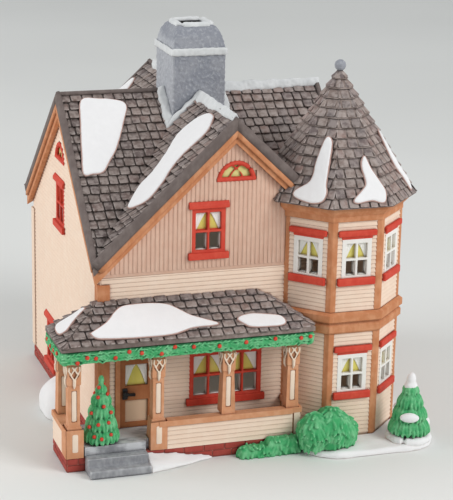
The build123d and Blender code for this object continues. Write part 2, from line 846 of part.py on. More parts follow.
def porch_half_wall(start, end, top_low):
    """Clapboard half wall between two corners in plan, with its boards facing away from the porch."""
    along = Vector(*end) - Vector(*start)
    plane = Plane(origin=(start[0], start[1], 0), x_dir=along.normalized(),
                  z_dir=along.normalized().cross(Vector(0, 0, 1)))
    slab = boarded_slab(plane, along.length / 2, brick_height, top_low, half_wall_thickness, half_wall_board)
    return Pos(*(along / 2)) * slab


def rail(start, end):
    """Flat rail over a half wall, overhanging it on both sides."""
    along = Vector(*end) - Vector(*start)
    plane = Plane(origin=(start[0], start[1], 0), x_dir=along.normalized(),
                  z_dir=along.normalized().cross(Vector(0, 0, 1)))
    return block(plane, (0, rail_low, -half_wall_thickness - rail_overhang),
                 (along.length, rail_top, rail_overhang))


def garland_band():
    """Evergreen roll hung under the porch eave, along the front and back along both ends."""
    low = porch_eave_low - garland_height
    inset = garland_thickness
    outer = block(ground, (porch_eave_left, porch_eave_front, low),
                  (porch_eave_right, porch_eave_side_back, porch_eave_low))
    inner = block(ground, (porch_eave_left + inset, porch_eave_front + inset, low - overrun),
                  (porch_eave_right - inset, porch_eave_side_back + overrun, porch_eave_low + overrun))
    band = outer - inner
    low_edges = band.edges().group_by(Axis.Z)[0]
    return fillet(low_edges.sort_by(lambda edge: edge.length)[-6:], garland_round)


def porch_steps():
    """Flight up to the porch floor."""
    outline = [(0, 0)]
    for index in range(step_count):
        run = (step_count - index) * step_tread
        outline += [(run, index * step_rise), (run, (index + 1) * step_rise)]
    outline += [(0, step_count * step_rise)]
    plane = Plane(origin=(0, porch_front, 0), x_dir=(1, 0, 0), z_dir=(0, -1, 0))
    return across(plane, outline, step_left, step_right)


# Plants


def tiered_tree(x, y, low, radius, height):
    """Evergreen with drooping tiers of branches on a short trunk."""
    tier_height = (height - tree_trunk_height) / tree_tiers
    points = [(0, low), (tree_trunk_radius, low), (tree_trunk_radius, low + tree_trunk_height)]
    for tier in range(tree_tiers):
        reach = radius * (1 - tier / tree_tiers)
        next_reach = radius * (1 - (tier + 1) / tree_tiers)
        base = low + tree_trunk_height + tier * tier_height
        points += [(reach, base), (reach, base + tier_height * tree_lip_share)]
        waist = max(next_reach, reach * tree_lip_share) * tree_undercut_share
        points += [(waist, base + tier_height)]
    points += [(0, low + height)]
    return turned(points, x, y)


def snow_drift():
    """Drift that slopes down from the plinth beside the steps and tapers away along it."""
    sections = []
    for along, depth_share, height_share, lip_share in drift_sections:
        depth = drift_depth * depth_share
        outline = [(0, 0), (depth, 0), (depth, drift_lip * lip_share), (0, drift_height * height_share)]
        plane = Plane(origin=(step_right + drift_length * along, porch_front, 0), x_dir=(0, -1, 0),
                      z_dir=(-1, 0, 0))
        sections.append(plane * make_face(Polyline(*outline, close=True)))
    return loft(sections, ruled=True)


def pine_cap():
    """Snow over the top tier of the yard pine."""
    tier_height = (yard_pine_height - tree_trunk_height) / tree_tiers
    reach = yard_pine_radius / tree_tiers + pine_snow_thickness
    base = yard_height + tree_trunk_height + (tree_tiers - 1) * tier_height
    peak = yard_height + yard_pine_height + pine_snow_thickness
    outline = [(0, base), (reach, base), (reach, base + pine_snow_thickness), (0, peak)]
    return turned(outline, yard_pine_x, yard_pine_y)


def pine_ring():
    """Snow heaped round the foot of the yard pine."""
    top = yard_height + tree_trunk_height - pine_ring_gap
    inner = pine_ring_radius - tree_trunk_height
    outline = [(0, yard_height), (pine_ring_radius, yard_height), (inner, top), (0, top)]
    return turned(outline, yard_pine_x, yard_pine_y)


# Assembly: shared solids that other pieces are fitted to
room = room_space()
tower_roof_solid = octagon_stack(tower_roof_rings(shingle_butt + finial_neck))
belt_middle = (belt_low + belt_high) / 2
belt_rings = [
    (tower_apothem + belt_waist_proud, belt_low),
    (tower_apothem + belt_proud - belt_waist_proud / 2, belt_low + belt_waist_proud),
    (tower_apothem + belt_proud - belt_waist_proud / 2, belt_middle - belt_waist_proud),
    (tower_apothem + belt_waist_proud, belt_middle),
    (tower_apothem + belt_proud, belt_middle + belt_waist_proud),
    (tower_apothem + belt_proud, belt_high - belt_waist_proud),
    (tower_apothem + belt_waist_proud, belt_high),
]
crown_step = (crown_high - crown_low) / 3
crown_rings = [
    (tower_apothem + crown_neck_proud, crown_low),
    (tower_apothem + crown_neck_proud, crown_low + crown_step),
    (tower_apothem + crown_proud, crown_low + 2 * crown_step),
    (tower_apothem + crown_proud, crown_high),
]
belt_solid = octagon_stack(belt_rings)
crown_solid = octagon_stack(crown_rings)
clad_apothem = tower_apothem + tower_corner_proud
tower_body = octagon_stack([(clad_apothem, 0), (clad_apothem, crown_low)])
tower_all = tower_body + belt_solid + crown_solid + tower_roof_solid
house_block = block(ground, (-wall_half_width - board_lap, -wall_half_depth - board_lap, 0),
                    (wall_half_width + board_lap, wall_half_depth + board_lap, porch_ridge_height + overrun))
parts = {}


def add_walls():
    """Walls with their windows, fans, corner boards and floor."""
    front_sash, front_fill = trimmed_window(front_plane, front_window_x, front_window_low, front_window_width,
                                            front_window_height, 1)
    front_fan, front_fan_fill = fan_window(front_plane, front_fan_x, front_fan_low)
    porch_sash, porch_fill = trimmed_window(front_plane, porch_window_x, porch_window_low, porch_window_width,
                                            porch_window_height, 2)
    leaf, casing, pane, lock, door_fill = door_pieces()
    front_fills = [front_fill, front_fan_fill, porch_fill, door_fill, tower_all]
    parts["front_wall"] = gabled_wall("front") - front_fills
    parts["front_gable_window"] = front_sash
    parts["front_fan_window"] = front_fan
    parts["porch_window"] = porch_sash
    parts["door_leaf"] = leaf
    parts["door_casing"] = casing
    parts["door_pane"] = pane
    parts["door_lock"] = lock
    windows = []
    fans = []
    for side, offset in (("left", -side_window_y), ("right", side_window_y), ("back", 0)):
        plane = side_planes[side]
        window, fill = trimmed_window(plane, offset, side_window_low, side_window_width,
                                      side_window_height, 1)
        fan, fan_fill = fan_window(plane, offset, side_fan_low)
        windows.append(window)
        fans.append(fan)
        fills = [fill, fan_fill, tower_all]
        if side == "back":
            lamp_place = plane * Pos(0, lamp_height, 0)
            fills.append(lamp_place * Cylinder(lamp_hole_radius, 2 * wall_thickness + overrun))
            seat = Cylinder(lamp_flange_radius + running_gap, overrun,
                            align=(Align.CENTER, Align.CENTER, Align.MIN))
            fills.append(lamp_place * seat)
        else:
            low_place = -ground_window_y if side == "left" else ground_window_y
            low_window, low_fill = trimmed_window(plane, low_place, ground_window_low, ground_window_width,
                                                  ground_window_height, 1)
            windows.append(low_window)
            fills.append(low_fill)
        parts[f"{side}_wall"] = gabled_wall(side) - fills
    parts["side_windows"] = Part() + windows
    parts["side_fan_windows"] = Part() + fans
    corner_top = roof_underside("front", roof_half_width) - fascia_height
    boards = [corner_board(x_sign, y_sign, corner_top) for x_sign, y_sign in ((-1, -1), (-1, 1), (1, 1))]
    parts["corner_boards"] = Part() + boards
    for side in side_planes:
        parts[f"{side}_wall"] -= boards
    inner_apothem = tower_apothem - wall_thickness
    tower_floor = octagon_stack([(inner_apothem, 0), (inner_apothem, floor_thickness)])
    tower_foot = octagon_stack([(clad_apothem, 0), (clad_apothem, floor_thickness)]) - tower_floor
    drain = Pos(0, drain_setback, 0) * Cylinder(drain_radius, 2 * floor_thickness + overrun)
    room_floor = house_inner_block()
    parts["base_plate"] = room_floor + tower_floor - drain - (tower_foot - room_floor)


def house_inner_block():
    """Plan of the room, from the floor plate's underside up."""
    return block(ground, (-wall_half_width + wall_thickness, -end_half, 0),
                 (wall_half_width - wall_thickness, end_half, floor_thickness))


def add_roof():
    """Four roof wings, their fascias, the chimney and the snow on them."""
    stack = chimney_stack()
    shaft = block(ground, (-chimney_half_width, -chimney_half_depth, chimney_foot),
                  (chimney_half_width, chimney_half_depth, band_low))
    near_width = chimney_half_width + snow_skirt
    near_depth = chimney_half_depth + snow_skirt
    near_chimney = block(ground, (-near_width, -near_depth, chimney_foot), (near_width, near_depth, band_low))
    wings = {side: roof_wing(side) for side in side_planes}
    sheets = {side: snow_sheet(side) for side in side_planes}
    skirt = Part()
    fascias = []
    for side, wing in wings.items():
        skirt += (sheets[side] & near_chimney) - shaft - wing
        parts[f"{side}_roof"] = largest(wing - shaft - tower_all)
        fascias.append(largest(gable_fascia(side) - tower_all))
    parts["gable_fascias"] = Part() + fascias
    parts["chimney"] = stack
    parts["chimney_snow"] = skirt + chimney_band()
    ridge_snow = []
    for side in ("front", "back", "right"):
        cover = block(side_planes[side], (-ridge_snow_half, 0, -side_runs[side]),
                      (ridge_snow_half, ridge_height + overrun, verge_overhang))
        ridge_snow.append((sheets[side] & cover) - wings[side] - near_chimney - tower_all)
    parts["ridge_snow"] = Part() + ridge_snow
    patches = []
    for side, shares in roof_patch_shares:
        span = side_spans[side]
        plan = Plane(origin=side_planes[side].origin, x_dir=side_planes[side].x_dir, z_dir=(0, 0, 1))
        run = side_runs[side]
        points = [(span * across, run - (run + verge_overhang) * out) for across, out in shares]
        cover = rounded_strip(plan, points, 0, ridge_height + overrun)
        patch = (sheets[side] & cover) - wings[side] - near_chimney - tower_all
        patches.append(patch - ridge_snow)
    parts["roof_snow"] = Part() + patches


def add_tower():
    """Two boarded storeys with a belt, a crown, corner boards, windows and a shingled roof."""
    lower = tower_boards(0, belt_low)
    upper = tower_boards(belt_high, crown_low)
    lower_corners = tower_corner_boards(0, belt_low)
    upper_corners = tower_corner_boards(belt_high, crown_low)
    sashes = []
    heads = []
    sills = []
    for storey, faces, low in (("upper", tower_upper_faces, tower_window_upper),
                               ("lower", tower_lower_faces, tower_window_lower)):
        for face in faces:
            plane = tower_plane(face)
            frame, fill = sash(plane, 0, low, tower_window_width, tower_window_height, 1)
            head = tower_window_head(plane, low)
            sill = tower_window_sill(plane, low)
            sashes.append(frame)
            heads.append(head)
            sills.append(sill)
            if storey == "upper":
                upper -= [fill, head, sill]
            else:
                lower -= [fill, head, sill]
    inside = tower_apothem - wall_thickness
    hollow = octagon_stack([(inside, 0), (inside, crown_high + overrun)])
    parts["tower_lower_wall"] = lower - hollow - room - house_inner_block() - lower_corners
    parts["tower_upper_wall"] = upper - hollow - room - upper_corners
    parts["tower_belt"] = belt_solid - hollow - room
    parts["tower_crown"] = largest(crown_solid - hollow - room)
    parts["tower_corner_boards"] = (Part() + lower_corners + upper_corners) - room - house_inner_block()
    parts["tower_sashes"] = Part() + sashes
    parts["tower_window_heads"] = Part() + heads
    parts["tower_window_sills"] = Part() + sills
    slope = (tower_peak - crown_high) / tower_eave_apothem
    inner_apothem = tower_eave_apothem - roof_thickness
    inner_top = crown_high + slope * (inner_apothem - finial_collar_radius)
    attic = octagon_stack([(inner_apothem, crown_high), (finial_collar_radius, inner_top)])
    parts["tower_roof"] = tower_roof_solid - attic - room
    ball_height = tower_peak + finial_collar_height + finial_radius / 2
    collar = Pos(tower_x, tower_y, tower_peak) * Cylinder(
        finial_collar_radius, finial_collar_height, align=(Align.CENTER, Align.CENTER, Align.MIN))
    ball = Pos(tower_x, tower_y, ball_height) * Sphere(finial_radius)
    parts["tower_finial"] = (collar + ball) - tower_roof_solid
    span = tower_peak - crown_high
    cover = octagon_stack([(tower_eave_apothem + snow_lift + finial_neck, crown_high),
                           (snow_lift + finial_neck, tower_peak)])
    patches = []
    for face, shares in tower_patch_shares:
        half = tower_eave_apothem * tan(radians(half_face_angle))
        points = [(half * across_share, crown_high + span * up_share) for across_share, up_share in shares]
        prism = rounded_strip(tower_plane(face), points, -tower_apothem, tower_apothem)
        patch = (cover & prism) - tower_roof_solid
        patches.append(patch - parts["front_roof"] - parts["right_roof"] - parts["gable_fascias"])
    parts["tower_snow"] = Part() + patches


def add_porch():
    """Plinth, floor, steps, half walls, rails, posts, roof and garland of the porch."""
    plinth = block(ground, (porch_left, porch_front, 0),
                   (porch_right, -wall_half_depth + overrun, brick_height))
    plinth += block(ground, (porch_left, porch_front, 0), (-wall_half_width, porch_side_back, brick_height))
    solid_house = block(ground, (-wall_half_width - brick_proud, -wall_half_depth, 0),
                        (wall_half_width, wall_half_depth, porch_ridge_height))
    parts["porch_plinth"] = plinth - solid_house - tower_all
    inner = half_wall_thickness
    floor = block(ground, (porch_left + inner, porch_front + inner, brick_height),
                  (porch_right - inner, -wall_half_depth + overrun, porch_floor_top))
    floor += block(ground, (porch_left + inner, porch_front + inner, brick_height),
                   (-wall_half_width, porch_side_back, porch_floor_top))
    floor += block(ground, (step_left, porch_front, brick_height),
                   (step_right, porch_front + inner, porch_floor_top))
    posts = {
        "porch_post_1": porch_post(post_1_x, post_front_y, brick_height, True),
        "porch_post_2": porch_post(post_2_x, post_front_y, brick_height, True),
        "porch_post_3": porch_post(post_3_x, post_front_y, rail_top, False),
        "porch_post_4": porch_post(post_4_x, post_front_y, brick_height, False),
        "porch_post_5": porch_post(post_1_x, post_5_y, brick_height, False),
    }
    standing = list(posts.values())
    front_run = ((post_2_x, porch_front), (post_4_x, porch_front))
    side_run = ((porch_left, porch_side_back), (porch_left, porch_front))
    end_run = ((porch_right, porch_front), (porch_right, -wall_half_depth))
    walls = []
    rails = []
    for start, end in (front_run, side_run, end_run):
        walls.append(porch_half_wall(start, end, rail_low) - standing - house_block - tower_all)
        rails.append(rail(start, end) - standing - house_block - tower_all)
    parts["porch_half_walls"] = Part() + walls
    parts["porch_rails"] = Part() + rails
    corner_boards = parts["corner_boards"]
    parts["porch_floor"] = largest(floor - house_block - corner_boards - tower_all - standing - walls)
    roof = hip_roof(shingle_butt, 0)
    parts["porch_roof"] = largest(roof - house_block - corner_boards - tower_all)
    for name, post in posts.items():
        parts[name] = post
    garland = garland_band() - house_block - tower_all - standing
    parts["porch_garland"] = largest(garland)
    parts["porch_steps"] = porch_steps()
    cover = hip_roof(0, snow_lift)
    patches = []
    for shares in porch_patch_shares:
        length = porch_eave_right - porch_eave_left
        depth = -wall_half_depth - porch_eave_front
        points = [(porch_eave_left + length * along_share, porch_eave_front + depth * up_share)
                  for along_share, up_share in shares]
        prism = rounded_strip(ground, points, 0, ridge_height)
        patches.append((cover & prism) - roof - house_block - corner_boards - tower_all)
    parts["porch_snow"] = Part() + patches


def largest(shape):
    """Largest solid of a cut piece, without the offcuts beyond what it meets."""
    return shape.solids().sort_by(lambda solid: solid.volume)[-1]


def add_ground():
    """Yard, snow heaps and plants."""
    tree = tiered_tree(porch_tree_x, porch_tree_y, porch_floor_top, porch_tree_radius, porch_tree_height)
    parts["porch_tree"] = tree
    yard_outline = RectangleRounded(yard_right - yard_left, yard_back - yard_front, yard_corner)
    yard_place = Pos((yard_left + yard_right) / 2, (yard_front + yard_back) / 2, 0)
    yard = yard_place * extrude(yard_outline, yard_height)
    yard = fillet(yard.edges().group_by(Axis.Z)[-1], yard_round)
    pine = tiered_tree(yard_pine_x, yard_pine_y, yard_height, yard_pine_radius, yard_pine_height)
    bush = Part()
    for offset, radius, height in bush_domes:
        bush += dome(bush_x + offset, bush_y, radius, yard_height, height)
    keep_out = [tower_all, block(ground, (porch_left, porch_front - board_lap, 0),
                                 (porch_right + rail_overhang, wall_half_depth, porch_eave_low))]
    foot_block = block(ground, (-wall_half_width - brick_proud, -wall_half_depth, 0),
                       (wall_half_width + brick_proud, wall_half_depth + brick_proud, ridge_height))
    parts["yard_snow"] = largest(yard - keep_out - foot_block)
    parts["yard_pine"] = pine
    parts["pine_snow"] = Part() + [pine_cap() - pine, pine_ring() - pine]
    parts["yard_bushes"] = largest(bush - keep_out)
    hedge_y = porch_front - hedge_depth / 2
    hedge = Part()
    for middle, length, height in hedge_humps:
        hedge += mound(middle, hedge_y, length, hedge_depth, 0, height)
    parts["porch_hedge"] = largest(hedge - keep_out - parts["yard_snow"] - parts["yard_bushes"])
    bank = mound(-wall_half_width, bank_y, 2 * bank_depth, bank_length, 0, bank_height)
    parts["snow_heaps"] = Part() + [snow_drift(), largest(bank - foot_block)]


def add_lamp():
    """Lamp holder with its spring clip, and the bulb that screws into it."""
    place = back_plane * Pos(0, lamp_height, 0)
    low = (Align.CENTER, Align.CENTER, Align.MIN)
    high = (Align.CENTER, Align.CENTER, Align.MAX)
    flange = Pos(0, 0, running_gap) * Cylinder(lamp_flange_radius, lamp_flange_thickness, align=low)
    flange = fillet(flange.edges().sort_by(Axis.Z)[-1:], lamp_flange_thickness / 2)
    barrel = Pos(0, 0, running_gap) * Cylinder(lamp_barrel_radius, lamp_barrel_length, align=high)
    bore = Pos(0, 0, -lamp_barrel_length + running_gap) * Cylinder(socket_radius, socket_depth, align=low)
    inlet = Cylinder(inlet_radius, 2 * lamp_barrel_length)
    parts["lamp_holder"] = place * (flange + barrel - bore - inlet)
    collar = Pos(0, 0, -clip_collar_setback) * (
        Cylinder(lamp_barrel_radius + clip_thickness, clip_collar_height, align=high)
        - Cylinder(lamp_barrel_radius, clip_collar_height, align=high))
    bend_radius = lamp_hole_radius - running_gap
    foot = lamp_barrel_radius + clip_thickness
    outline = [(lamp_barrel_radius, -clip_collar_setback - clip_collar_height), (foot, -clip_collar_setback),
               (bend_radius, -clip_bend_setback), (foot + clip_thickness, -clip_tip_setback),
               (foot, -clip_tip_setback), (bend_radius - clip_thickness, -clip_bend_setback),
               (lamp_barrel_radius, -clip_collar_setback)]
    leaf_plane = Plane(origin=(0, 0, 0), x_dir=(1, 0, 0), z_dir=(0, -1, 0))
    leaf = strip(leaf_plane, outline, -clip_width / 2, clip_width / 2)
    core = Cylinder(lamp_barrel_radius, 2 * lamp_barrel_length)
    leaves = (leaf + Rot(0, 0, 180) * leaf) - core
    parts["lamp_clip"] = place * (collar + leaves)
    bulb_start = -lamp_barrel_length
    cap = Pos(0, 0, bulb_start) * Cylinder(bulb_cap_radius, bulb_cap_length, align=low)
    cap = chamfer(cap.edges().sort_by(Axis.Z)[-1:], running_gap)
    parts["bulb_cap"] = place * cap
    shoulder = bulb_start - bulb_length * bulb_widest_share
    tip = bulb_start - bulb_length
    swelling = Spline((bulb_neck_radius, bulb_start), (bulb_radius, shoulder), tangents=((0, -1), (0, -1)))
    rounding = Spline((bulb_radius, shoulder), (0, tip), tangents=((0, -1), (-1, 0)))
    base = Polyline((0, tip), (0, bulb_start), (bulb_neck_radius, bulb_start))
    face = make_face([swelling, rounding, base])
    parts["bulb_glass"] = place * revolve(Plane.XZ * face, Axis.Z)


add_walls()
add_roof()
add_tower()
add_porch()
add_ground()
add_lamp()

os.makedirs("parts", exist_ok=True)
for name, shape in parts.items():
    export_step(shape, f"parts/{name}.step")
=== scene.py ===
"""Looks of the ceramic village house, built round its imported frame.

Sizes are in millimetres until a mesh is made. Display colours run from 0 to 255.
"""

import json
import logging
import math
import random
from dataclasses import dataclass
from enum import Enum
from typing import Callable, Iterable, Sequence

import bmesh
import bpy
from mathutils.bvhtree import BVHTree
from mathutils import Matrix, Vector, noise


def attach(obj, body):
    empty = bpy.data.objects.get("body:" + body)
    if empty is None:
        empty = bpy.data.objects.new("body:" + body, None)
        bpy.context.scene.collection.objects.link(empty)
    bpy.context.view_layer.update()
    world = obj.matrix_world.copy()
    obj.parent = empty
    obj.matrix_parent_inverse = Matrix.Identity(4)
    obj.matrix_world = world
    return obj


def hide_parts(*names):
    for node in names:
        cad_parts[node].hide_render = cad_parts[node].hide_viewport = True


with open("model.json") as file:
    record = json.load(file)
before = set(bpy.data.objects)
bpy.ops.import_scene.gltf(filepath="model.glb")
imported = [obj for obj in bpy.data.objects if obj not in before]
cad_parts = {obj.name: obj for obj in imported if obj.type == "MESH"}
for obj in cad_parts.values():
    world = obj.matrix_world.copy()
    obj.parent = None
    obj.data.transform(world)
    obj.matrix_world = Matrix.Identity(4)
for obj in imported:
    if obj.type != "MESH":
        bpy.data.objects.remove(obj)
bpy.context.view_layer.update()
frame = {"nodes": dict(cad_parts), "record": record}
LOG = logging.getLogger("village_house")
MM = 0.001
HOUSE = "house"
UP = Vector((0, 0, 1))
WALL_HALF_X = 66.0
WALL_HALF_Y = 73.0
OVERHANG = 4.0
ROOF_EAVE = 97.0
ROOF_RIDGE = 163.5
CLEAR_OF_ALL = 40.0

Colour = tuple[float, float, float]
Outline = list[tuple[float, float]]
Hole = tuple[float, float, float, float]


def linear(colour: Colour) -> tuple[float, float, float, float]:
    """Turn a display colour into a shader colour.

    Args:
        colour: Red, green and blue from 0 to 255.

    Returns:
        The linear colour with full alpha.
    """
    shares = [channel / 255 for channel in colour]
    return (*[s / 12.92 if s <= 0.04045 else ((s + 0.055) / 1.055) ** 2.4 for s in shares], 1.0)


class Wire:
    """Socket of a shader node that takes part in Python arithmetic."""

    def __init__(self, graph: "Graph", socket: bpy.types.NodeSocket) -> None:
        """Keep the graph and the socket."""
        self.graph = graph
        self.socket = socket

    def __add__(self, other: "Wire | float") -> "Wire":
        """Sum."""
        return self.graph.maths("ADD", self, other)

    __radd__ = __add__

    def __mul__(self, other: "Wire | float") -> "Wire":
        """Product."""
        return self.graph.maths("MULTIPLY", self, other)

    __rmul__ = __mul__

    def __sub__(self, other: "Wire | float") -> "Wire":
        """Difference."""
        return self.graph.maths("SUBTRACT", self, other)

    def __rsub__(self, other: float) -> "Wire":
        """Difference from a number."""
        return self.graph.maths("SUBTRACT", other, self)

    def __truediv__(self, other: "Wire | float") -> "Wire":
        """Quotient."""
        return self.graph.maths("DIVIDE", self, other)

    def __abs__(self) -> "Wire":
        """Size without its sign."""
        return self.graph.maths("ABSOLUTE", self)


class Graph:
    """Node tree of one finish."""

    def __init__(self, name: str) -> None:
        """Start an empty tree in a new material."""
        self.material = bpy.data.materials.new(name)
        self.material.use_nodes = True
        self.tree = self.material.node_tree
        self.tree.nodes.clear()

    def node(self, kind: str, settings: dict | None = None, sockets: dict | None = None,
             output: int | str = 0) -> Wire:
        """Add a node.

        Args:
            kind: Node type.
            settings: Properties of the node, set first.
            sockets: Values or wires for its inputs, by name or number.
            output: Output to hand back.

        Returns:
            The chosen output.
        """
        made = self.tree.nodes.new(kind)
        for key, value in (settings or {}).items():
            setattr(made, key, value)
        for key, value in (sockets or {}).items():
            if isinstance(value, Wire):
                self.tree.links.new(value.socket, made.inputs[key])
            else:
                made.inputs[key].default_value = value
        return Wire(self, made.outputs[output])

    def maths(self, operation: str, *values: Wire | float) -> Wire:
        """Work out a number from numbers."""
        return self.node("ShaderNodeMath", {"operation": operation}, dict(enumerate(values)))

    def mix(self, share: Wire | float, first: Wire | Colour, second: Wire | Colour) -> Wire:
        """Blend two colours, the second by its share."""
        return self.node("ShaderNodeMix", {"data_type": "RGBA"}, {0: share, 6: ink(first), 7: ink(second)}, 2)

    def rise(self, value: Wire, low: float, high: float) -> Wire:
        """Smooth step from 0 at low to 1 at high."""
        sockets = {"Value": value, "From Min": low, "From Max": high}
        return self.node("ShaderNodeMapRange", {"interpolation_type": "SMOOTHSTEP"}, sockets)

    def place(self) -> Wire:
        """Position in the house's frame, in metres."""
        return self.node("ShaderNodeTexCoord", output="Object")

    def noise(self, grain: float, detail: float = 3.0, stretch: Colour = (1, 1, 1)) -> Wire:
        """Cloudy value from 0 to 1.

        Args:
            grain: Size of the clouds in millimetres.
            detail: Octaves of finer clouds.
            stretch: Factors on the three axes.

        Returns:
            The value.
        """
        spread = self.node("ShaderNodeMapping", sockets={"Vector": self.place(), "Scale": stretch})
        sockets = {"Vector": spread, "Scale": 1 / (grain * MM), "Detail": detail}
        return self.node("ShaderNodeTexNoise", sockets=sockets)

    def axis(self, letter: str) -> Wire:
        """One coordinate in the house's frame, in millimetres."""
        return self.node("ShaderNodeSeparateXYZ", sockets={0: self.place()}, output=letter) / MM

    def hollow(self, reach: float) -> Wire:
        """Share of open sky over a point, low in crevices within a reach in millimetres."""
        return self.node("ShaderNodeAmbientOcclusion", {"samples": 6}, {"Distance": reach * MM}, "AO")

    def stored(self, name: str) -> Wire:
        """Value kept at a mesh's points."""
        return self.node("ShaderNodeAttribute", {"attribute_name": name}, output="Fac")

    def finish(self, colour: Wire, height: Wire, depth: float, fixed: dict,
               varied: dict | None = None) -> bpy.types.Material:
        """Close the tree with a surface shader.

        Args:
            colour: Base colour.
            height: Relief from 0 to 1.
            depth: Depth of the relief in millimetres.
            fixed: Values of shader sockets that are the same all over.
            varied: Wires for other shader sockets.

        Returns:
            The material.
        """
        relief = {"Strength": 1.0, "Distance": depth * MM, "Height": height}
        bump = self.node("ShaderNodeBump", sockets=relief)
        sockets = {"Base Color": colour, "Normal": bump, **fixed, **(varied or {})}
        surface = self.node("ShaderNodeBsdfPrincipled", sockets=sockets)
        out = self.tree.nodes.new("ShaderNodeOutputMaterial")
        self.tree.links.new(surface.socket, out.inputs["Surface"])
        return self.material

    def sharpness(self) -> Wire:
        """How far a place stands out: over a half on edges, under it in grooves."""
        return self.node("ShaderNodeNewGeometry", output="Pointiness")


def ink(value: Wire | Colour) -> Wire | tuple:
    """Leave a wire as it is and turn a display colour into a shader colour."""
    return value if isinstance(value, Wire) else linear(value)


@dataclass(frozen=True)
class Paint:
    """Matte paint brushed on porcelain, with painted shade darkening it in crevices and next to other parts.
    """

    name: str
    colour: Colour
    painted_shade_colour: Colour
    pale: Colour
    drift: float = 0.35
    painted_shade_depth: float = 0.7
    painted_shade_reach: float = 1.6
    roughness: float = 0.74
    roughness_spread: float = 0.16
    gloss: float = 0.32
    grain: float = 0.03

    def tint(self, graph: Graph) -> Wire:
        """Colour before the painted shade: brush marks drift towards the paler paint."""
        clouds = graph.noise(5.0, detail=4.0)
        streaks = graph.noise(1.6, detail=2.0, stretch=(1, 1, 0.35))
        share = graph.rise(clouds * 0.65 + streaks * 0.35, 0.38, 0.68)
        return graph.mix(share * self.drift, self.colour, self.pale)

    def relief(self, graph: Graph) -> Wire:
        """Fine tooth of the fired surface."""
        return graph.noise(0.45, detail=3.0)

    def make(self) -> bpy.types.Material:
        """Build the material."""
        graph = Graph(self.name)
        # Painted shade: where little open sky reaches a place (crevices, under laps, next to other parts or
        # the floor), the colour darkens towards the shade colour.
        open_sky = graph.hollow(self.painted_shade_reach)
        painted_shade_share = graph.rise(open_sky, 0.92, 0.30) * self.painted_shade_depth
        colour = graph.mix(painted_shade_share, self.tint(graph), self.painted_shade_colour)
        rough = graph.noise(3.0) * self.roughness_spread + (self.roughness - self.roughness_spread / 2)
        fixed = {"Specular IOR Level": self.gloss}
        return graph.finish(colour, self.relief(graph), self.grain, fixed, {"Roughness": rough})


@dataclass(frozen=True)
class WallPaint(Paint):
    """Board paint outside a bare porcelain room, with another paint above a height on the front gable."""

    bare: Colour = (232, 226, 214)
    gable: Colour = (208, 170, 148)
    gable_pale: Colour = (216, 184, 164)
    gable_low: float = 1000.0
    room_half_x: float = 62.9
    room_half_y: float = 69.9
    fade: float = 0.2

    def tint(self, graph: Graph) -> Wire:
        """Outside paint, gable paint and bare clay by place."""
        boards = Paint.tint(self, graph)
        above = graph.rise(graph.axis("Z"), self.gable_low - self.fade / 2, self.gable_low + self.fade / 2)
        streaks = graph.rise(graph.noise(2.2, detail=3.0, stretch=(1, 1, 0.12)), 0.35, 0.70)
        standing = graph.mix(streaks * 0.5, self.gable, self.gable_pale)
        painted = graph.mix(above, boards, standing)
        inside_x = graph.rise(abs(graph.axis("X")), self.room_half_x, self.room_half_x - self.fade)
        inside_y = graph.rise(abs(graph.axis("Y")), self.room_half_y, self.room_half_y - self.fade)
        return graph.mix(inside_x * inside_y, painted, self.bare)


@dataclass(frozen=True)
class CornerPaint(Paint):
    """Trim paint at the front corners and board paint at the back ones."""

    board: Colour = (240, 214, 192)
    board_from_y: float = 60.0
    fade: float = 0.4

    def tint(self, graph: Graph) -> Wire:
        """Trim or board paint by place."""
        back = graph.rise(graph.axis("Y"), self.board_from_y, self.board_from_y + self.fade)
        return graph.mix(back, Paint.tint(self, graph), self.board)


@dataclass(frozen=True)
class ShinglePaint(Paint):
    """Slate brown paint that changes from shingle to shingle, with painted shade towards the left of the
    house and rubbed pale edges that are partly painted highlight.
    """

    warm: Colour = (152, 122, 113)
    cool: Colour = (100, 94, 95)
    shaded: Colour = (86, 74, 69)
    shaded_to_x: float = 30.0
    shaded_full_x: float = -70.0
    shade: float = 0.55

    def tint(self, graph: Graph) -> Wire:
        """Base paint, warm and cool shingles, brushed patches, painted shade on the left, and rubbed edges
        with painted highlight.
        """
        tone = graph.stored("tone")
        patch = graph.noise(16.0, detail=3.0)
        warm = graph.rise(tone * 0.5 + patch * 0.7, 0.50, 0.82)
        cool = graph.rise(tone * 0.5 + (1 - patch) * 0.7, 0.52, 0.84)
        base = graph.mix(warm * 0.75, Paint.tint(self, graph), self.warm)
        base = graph.mix(cool * 0.75, base, self.cool)
        # Painted shade: the shingles darken towards the left of the house.
        left = graph.rise(graph.axis("X"), self.shaded_to_x, self.shaded_full_x)
        base = graph.mix(left * self.shade, base, self.shaded)
        # Rubbed paint and painted highlight: pale along the shingles' edges.
        rubbed_and_highlight = graph.stored("edge") * graph.rise(graph.noise(2.4, detail=4.0), 0.36, 0.60)
        return graph.mix(rubbed_and_highlight * 0.8, base, self.pale)


@dataclass(frozen=True)
class LeafPaint(Paint):
    """Green paint with painted highlight on the raised leaves and painted shade between them."""

    # Painted shade colour between the leaves.
    deep: Colour = (24, 96, 58)

    def tint(self, graph: Graph) -> Wire:
        """Green by how far a place stands out: painted shade in the hollows, painted highlight on the raised
        leaves.
        """
        sharp = graph.sharpness()
        # Painted shade: darker green where the surface dips between leaves.
        base = graph.mix(graph.rise(sharp, 0.50, 0.43), Paint.tint(self, graph), self.deep)
        # Painted highlight: paler green on the raised leaves.
        rubbed_and_highlight = graph.rise(sharp, 0.51, 0.57) * graph.rise(graph.noise(3.0, detail=3.0), 0.30, 0.58)
        return graph.mix(rubbed_and_highlight * 0.8, base, self.pale)


@dataclass(frozen=True)
class SnowPaint(Paint):
    """White paint over soft lumps."""

    def relief(self, graph: Graph) -> Wire:
        """Soft lumps under the fine tooth."""
        return graph.noise(0.5, detail=2.0) * 0.5 + graph.noise(4.0, detail=2.0) * 0.5


